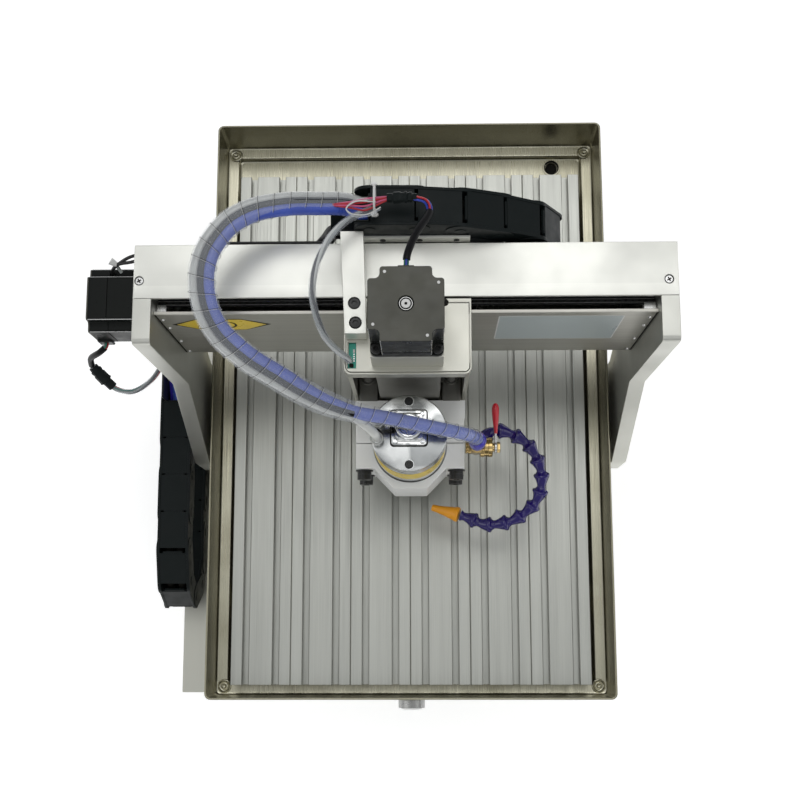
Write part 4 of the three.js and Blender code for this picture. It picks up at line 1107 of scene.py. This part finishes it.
def make_carriage_wiring():
    green, blue, red, black, pink = (WIRES[name] for name in ("green", "blue", "red", "black", "pink"))
    looks = [SLEEVE, green, blue, red, black, NYLON, pink, WRAP, WHITE]
    lead = carried("z_motor_lead", looks, "carriage_wiring")
    whole = smooth_path([
        (0, 55, 372), (1, 66, 372), (8, 86, 364), (18, 107, 351), (15, 117, 345.5), (4, 120.5, 345),
    ], 1.2)
    sleeved = next(i for i, point in enumerate(whole) if point.y > 62)
    bare = next(i for i, point in enumerate(whole) if point.y > 108)
    wires(lead, whole[: sleeved + 4], (1, 2, 1, 4), 0.8, 1.2)
    lead.tube(whole[sleeved:bare], 2.9)
    wires(lead, whole[bare - 3 :], (2, 3, 2, 4), 0.9, 1.6)
    plug = smooth_path([(8, 120.6, 345), (-2, 120.5, 345), (-15, 120.4, 344)], 1)
    profile = stepped((3, 3.2), (6, 4.4), (7, 3.8), (10, 5.0), (12, 4.2), (18, 4.8), (99, 3.8))
    lead.tube(plug, profile, 5, 8, 0.85)
    for sag, rise, look in ((0, 1, 6), (3, 2, 3), (6, 1.5, 6), (9, 0.5, 3)):
        lead.wire([
            (-13, 121.5 - sag / 5, 344), (-20, 121 - sag / 2, 343 + rise), (-32, 120.5 - sag, 341 + rise),
            (-44, 119.5 - sag / 2, 337 + rise), (-62, 120, 330),
        ], 0.8, look)
    for turn, look in ((0, 8), (1.5, 7)):
        lead.wire([
            (-20, 113 - turn, 344), (-30, 107 - turn, 345), (-42, 108 - turn, 343),
            (-47, 113, 341), (-40, 118 + turn, 343), (-24, 117 + turn, 345),
        ], 0.55, look)
    lead.done()

    cable = carried("switch_cable", [WIRES["grey"], black, green, TUBE, WRAP])
    route = smooth_path([
        (-27, 114, 337), (-36, 110, 338), (-48, 103, 338.5), (-61, 88, 340), (-70, 68.6, 338),
        (-73.5, 49.7, 334), (-71.5, 34, 327), (-66, 19, 317), (-57, 9, 306), (-48, 3, 298), (-46, 2, 286),
    ])
    wires(cable, route, (0, 1, 3), 1.25, 1.35, 11.0)
    cable.tube(route[:-4], 3.1, 4)
    wires(cable, route[-5:], (2, 1, 3), 0.8, 1.9)
    cable.done()

    tie = carried("bundle_tie", WHITE)
    band = [Vector((-25, y, z)) for y, z in circle(121, 337, 12, 40)]
    tie.tube(band + band[:2], 0.9, 0, 8)
    tie.box(-27.2, -23, 130, 133, 343, 347, 0, 0.8).box(-28, -22, 107.5, 110.5, 336, 340, 0, 0.8).done()


BUNDLE = [
    (-31, 121, 317), (-36, 121, 317), (-49.2, 123, 322), (-70, 121, 330), (-95.2, 117.9, 338),
    (-119.4, 111.8, 342), (-136.3, 101.8, 344.5), (-147.6, 88.2, 346), (-154.9, 73.9, 346.5),
    (-157.8, 55.2, 345), (-154.7, 34.1, 340.5), (-145.8, 16.9, 334), (-126.3, -0.6, 323),
    (-105.5, -12.5, 311), (-83.7, -24.1, 299), (-62.5, -32.5, 287), (-41.6, -37.6, 277),
    (-19, -39.9, 268), (7.9, -44.2, 260), (30.2, -47.4, 249), (47, -48.3, 231), (56, -47.6, 208),
    (60, -46.8, 188), (60, -46.8, 168.6),
]


def make_bundle():
    """The blue coolant hose, the grey water tubes and the spindle's cable, held in a clear spiral wrap."""
    route = smooth_path(BUNDLE)
    blend = ("z_slide", (-157.5, 40, 340), (60, -47, 175))
    leave = next(i for i, point in enumerate(route) if point.x > -46 and point.y < 0)
    inner = route[: leave + 1]
    whole, narrow = frames(route)[-1][3], frames(inner)[-1][3]

    def ease(length, start, over=60):
        """Goes from 0 at a length to 1 further on."""
        return min(1.0, max(0.0, (length - start) / over))

    def outside(share):
        """How far the hose is from the bundle's middle: none at all past the tubes' end."""
        return 1 - ease(share * whole, narrow - 60)

    hose = carried("coolant_hose", [BLUE, VIOLET], "spindle_hose_bundle")
    hose.tube(offset_path(route, lambda s: -4.2 * outside(s), lambda s: 1.5 * outside(s)), 5.4, 0, 20)
    collar = [(168.2, 6.2), (169, 7.4), (172, 7.6), (184, 7.6), (189, 6.8), (192, 5.6)]
    hose.turned("z", 60, -46.8, collar, 1).done(blend)

    tube = carried("water_tubes", [TUBE, SLEEVE])
    outer = offset_path(inner, lambda share: 5.6 - 3 * share**6, 0.2)
    cable = offset_path(inner, 0.6, -4.4)
    tube.tube(outer, 4.1, 0, 18).tube(cable, 2.8, 1, 12).tube(offset_path(inner, 1.0, 5.2), 2.7, 1, 12)
    to_port = [(-33, -48, 266), (-28, -52, 259), (-27, -53, 248), (-27, -53, 240)]
    to_plug = [(-22, -42, 259), (-6, -42, 255), (0, -43, 252), (0, -43, 244)]
    tube.wire([*outer[-3:-1], *to_port], 3.9, 0, 16).wire([*cable[-3:-1], *to_plug], 2.8, 1, 12)
    tube.done(blend)

    bare, flat, pitch = 14, 0.86, 12.5

    def reach(length):
        """The wrap's radius: full round the bundle, and close to the blue hose past the tubes' end."""
        full = 9.2 + 1.7 * ease(length, 60)
        return full if length < narrow - 30 else max(6.7, full - (length - narrow + 30) * 0.07)

    wrap = carried("spiral_wrap", [WRAP, WHITE, INSIDE])
    shell = [row for row in frames(route) if bare < row[3] < whole - 30]
    wrap.tube([row[0] for row in shell], lambda length: reach(length + bare), 0, 28, flat)
    # The wrap's edge is drawn as a white line with a dark line just behind it: a painted highlight and
    # painted shade along the clear band's edge.
    for phase, look, radius in ((0.0, 1, 0.12), (0.05, 2, 0.14)):
        path = []
        for (p0, s0, u0, n0), (p1, s1, u1, n1) in zip(shell, shell[1:]):
            for t in (k / 6 for k in range(6)):
                n = n0 + (n1 - n0) * t
                angle = 2 * math.pi * (n / pitch + phase)
                r = reach(n) + 0.1
                across = s0.lerp(s1, t) * (r * math.cos(angle))
                path.append(p0.lerp(p1, t) + across + u0.lerp(u1, t) * (r * flat * math.sin(angle)))
        wrap.tube(path, radius, look, 6)
    wrap.done(blend)


# ---------------------------------------------------------------- spindle and coolant


def make_clamp():
    high = span("z_slide_saddle")[5]
    clamp_low, clamp_high, bore, rod_x, rod_y = 80, 150, 32.9, 38, 17
    saddle = carried("slide_saddle", [PAINTED_LIGHT_METAL, BRASS, SHADED_METAL], "z_slide_saddle")
    saddle.plate("z", [mirrored([(46, 12), (46, 34)]), circle(*Z_LINE[1:], 9)], 106, high, 2, 0.6)
    for x0, x1, x in ((-46, -29.5, -rod_x), (29.5, 46, rod_x)):
        saddle.plate("z", [rounded(x0, x1, -6, 13, 1)], 106, high, 2)
        saddle.ring("z", x, rod_y, high, high + 1.2, 6.4, 7.8, 2)
    saddle.ring(*Z_LINE, 104.5, high + 3, 6.5, 9, 1, 0.4).ring(*Z_LINE, high + 0.1, high + 3, 9, 13, 1, 0.4)
    reach = math.degrees(math.acos(3 / bore))
    hollow = arc(0, SPINDLE_Y, bore, 90 - reach, 90 + reach, 40)
    rear = mirrored([(50, -5), (50, -22), (49, -22.6), (49, -44)], hollow)
    saddle.plate("z", [rear], clamp_low, clamp_high, 0, 0.6).done()

    cap = carried("clamp_cap", [PAINTED_LIGHT_METAL, BLACK_STEEL], "spindle_clamp_cap")
    front = mirrored([(49, -44.6), (49, -67), (33, -67), (15, -85.5)])
    front += [(-32.8, -44.6), *arc(0, SPINDLE_Y, bore, 176, 364, 56), (32.8, -44.6)]
    cap.plate("z", [front], clamp_low, clamp_high, 0, 0.7)
    for x, z in grid((-42, 42), (clamp_high - 15, clamp_low + 15)):
        cap.ring("y", x, z, -68.2, -67.1, 4, 8, 1, 0.2).cap_screw("y", x, z, -68, -76, 6.4, 1)
    cap.done()


def make_spindle():
    looks = [CHROME, BLACK_STEEL, YELLOW, INSIDE, TUBE, TURNED_PAINTED_REFLECTION, SHADED_CHROME]
    body = carried("spindle_can", looks, "spindle_body")
    r, top, middle = 32.5, 230, -43
    plug = ("z", 0, middle)
    can = [
        (20, 0), (20, 16.4), (20.6, 17), (26.6, 17), (27, 30), (29, r), (158, r), (158.4, r - 0.4),
        (159.2, r - 0.4), (159.6, r), (214, r), (214.6, r - 0.8), (217.4, r - 0.8), (218, r - 0.2),
        (218.4, r), (229.2, r), (229.7, r - 0.3), (top, r - 0.8), (top, 0),
    ]
    body.turned(*SPINDLE_LINE, can, 5, 96)
    band = arc(0, SPINDLE_Y, r + 0.15, 200, 340, 60) + arc(0, SPINDLE_Y, r - 1, 340, 200, 60)
    body.plate("z", [band], 172, 204, 2, 0.05)
    for place in circle(0, SPINDLE_Y, 27, 4):
        body.ring("z", *place, top - 0.1, top + 0.4, 3.6, 4.4, 0, 0.1)
        # A dark disc round each head, inside its ring, is painted shade.
        body.rod("z", *place, top, top + 0.15, 3.9, 3, 0.05)
        body.cap_screw("z", *place, top, top + 0.4, 3.2, 1)

    def square(half, radius):
        return rounded(-half, half, middle - half, middle + half, radius)

    # A thin dark plate a little larger than the square base is a painted shadow round it.
    body.plate("z", [square(16, 3)], top, top + 0.4, 3, 0.1)
    body.plate("z", [square(15, 2.5), circle(0, middle, 9.4)], top + 0.4, top + 4, 6, 0.5)
    screws = grid((-11.6, 11.6), (middle - 11.6, middle + 11.6))
    body.cap_screws("z", screws, top + 4, top + 6, 2.3, 0, 24)
    body.plate("z", [square(12, 4), circle(0, middle, 9)], top + 4, top + 8, 6, 0.8)
    body.ring(*plug, top + 4, top + 15, 7.6, 10, 0, 0.6)
    body.turned(*plug, [(top + 9, 10), (top + 9.6, 11.2), (top + 13.4, 11.2), (top + 14, 10)])
    body.rod(*plug, top + 4, top + 9, 7.6, 3, 0.1)
    barbs = ((4, 4), (5, 4), (6, 4.9), (7, 4), (8, 4.9), (9, 4), (10, 4.7), (11, 3.2))
    for port in ((-27, -53), (-26, -38)):
        body.plate("z", [circle(*port, 5.6, 6)], top, top + 4, 0, 0.5)
        body.turned("z", *port, [(top + rise, radius) for rise, radius in barbs])
        body.ring("z", *port, top + 6, top + 11, 4.2, 5.6, 4, 0.4)
    stub = [(-26, -38, top + 8), (-26, -38, top + 14), (-29, -35, top + 22), (-36, -37, top + 31)]
    body.wire(stub, 3.6, 4, 14).done()

    nut = carried("collet_nut_hex", [STEEL, INSIDE], "collet_nut")
    nut.plate("z", [circle(0, SPINDLE_Y, 9.4, 6), circle(0, SPINDLE_Y, 3.2, 24)], 7, 19.7, 0, 0.6)
    nut.turned(*SPINDLE_LINE, [(5, 3.4), (5, 7.4), (5.6, 8), (7.4, 8.4), (9, 7.8)])
    # A dark disc in the nut's bore is painted shade.
    nut.rod(*SPINDLE_LINE, 5.4, 6, 3.3, 1, 0.1).done()


def make_valve():
    y, z = SPINDLE_Y, 140
    valve = carried("brass_valve", BRASS, "coolant_valve_body")
    stem = [(50.3, 5.4), (50.9, 6), (51.4, 6), (51.8, 5.2), (52.6, 5.2), (53, 6), (63, 6), (63.4, 8.4)]
    stem += [(64, 9), (67, 9), (67.4, 8.6), (71, 8.6), (71.4, 9), (74.4, 9), (75, 8.2), (75, 4), (76.4, 4)]
    valve.turned("x", y, z, stem)
    valve.plate("z", [circle(60, y, 8.1, 6)], 146, 154, 0, 0.7)
    valve.turned("z", 60, y, [(139, 7), (146, 7)])
    barbs = [(154, 6.6), (155, 6.6), (155.4, 4.3)]
    for start in (156, 159, 162):
        barbs += [(start, 5.0), (start + 2.4, 4.1)]
    valve.turned("z", 60, y, [*barbs, (167.4, 4)])
    valve.plate("z", [circle(70, y, 6.2, 6)], 124, 131, 0, 0.6)
    valve.turned("z", 70, y, [(114.5, 4.6), (115, 5.4), (124, 5.4), (124, 5), (140, 5)])
    valve.turned("y", 70, 120, [(y, 5.4), (-40.6, 5.4), (-40.2, 6), (-38.4, 6), (-38, 5.2)]).done()

    lever = carried("valve_handle", [STEEL, RED, BRASS], "valve_lever", slot="red_grip")
    lever.plate("x", [circle(y, z, 5.4, 24)], 76.8, 79).plate("x", [circle(y, z, 5, 6)], 79, 82, 2, 0.5)
    link = [(y, z - 3), (y + 8, z - 1.6), (y + 16, z + 1), (y + 16, z + 5.6), (y + 8, z + 4), (y, z + 3.6)]
    lever.plate("x", [link], 77, 78.8, 0, 0.3)
    sections = (
        (0.0, 1.0, 2.0), (0.03, 1.5, 2.8), (0.2, 1.9, 3.1), (0.45, 2.9, 3.8), (0.7, 3.4, 4.2),
        (0.86, 3.3, 4.2), (0.94, 2.5, 3.4), (0.985, 1.4, 2.2), (1.0, 0.4, 0.8),
    )
    root, reach = Vector((78, y + 11.5, z + 2.5)), Vector((0, 28.5, 2.4))
    across, up = Vector((1, 0, 0)), Vector((0, 0, 1))
    grip = [hoop(root + reach * w, across, up, wide, 20, tall / wide) for w, wide, tall in sections]
    lever.skin(grip, 1).done()


def make_coolant_pipe():
    """Ball-and-socket segments threaded on the pipe's own curve, each one flared at its start."""
    curve = smooth_path([
        (70, -37, 120), (70, -35, 120), (74, -30.5, 120), (83, -29, 120), (95.5, -32.5, 118),
        (108.5, -40.4, 114), (117, -51.7, 110), (122, -65.7, 105), (122, -80.2, 100),
        (117.6, -91.9, 95), (109.3, -100.8, 90), (97, -108.9, 86), (83, -112.3, 82),
        (69, -112.1, 79), (54.6, -106.1, 76), (47.5, -103.6, 74.6),
    ], 0.75)
    pitch = frames(curve)[-1][3] / 12
    shape = (
        (0.0, 5.4), (0.03, 7.0), (0.08, 7.6), (0.20, 7.4), (0.26, 6.7), (0.45, 5.5), (0.62, 4.6),
        (0.76, 4.0), (0.86, 4.0), (0.94, 4.9), (1.0, 5.4),
    )

    def profile(length):
        share = (length / pitch) % 1.0
        for (s0, r0), (s1, r1) in zip(shape, shape[1:]):
            if share <= s1:
                return r0 + (r1 - r0) * (share - s0) / (s1 - s0)
        return shape[-1][1]

    carried("jointed_pipe", PURPLE, "coolant_pipe").tube(curve, profile, 0, 24).done()

    root, tip = Vector((45.8, -103, 74.2)), Vector((19.9, -95.3, 69))
    along, length = (tip - root).normalized(), (tip - root).length
    steps = [
        (0, 5.4), (0.6, 6.8), (1.4, 7.2), (3.6, 7.1), (5, 6.4), (9, 5.7), (14, 4.7), (20, 3.7),
        (length - 1, 3.1), (length - 0.2, 2.9), (length, 2.6), (length, 1.6), (length - 2, 1.5),
    ]
    side = along.cross(Vector((0, 0, 1))).normalized()
    rings = [hoop(root + along * w, side, side.cross(along), radius, 32) for w, radius in steps]
    carried("nozzle_tip", ORANGE, "coolant_nozzle").skin(rings).done()


make_carriage()
make_carriage_wiring()
make_bundle()
make_clamp()
make_spindle()
make_valve()
make_coolant_pipe()
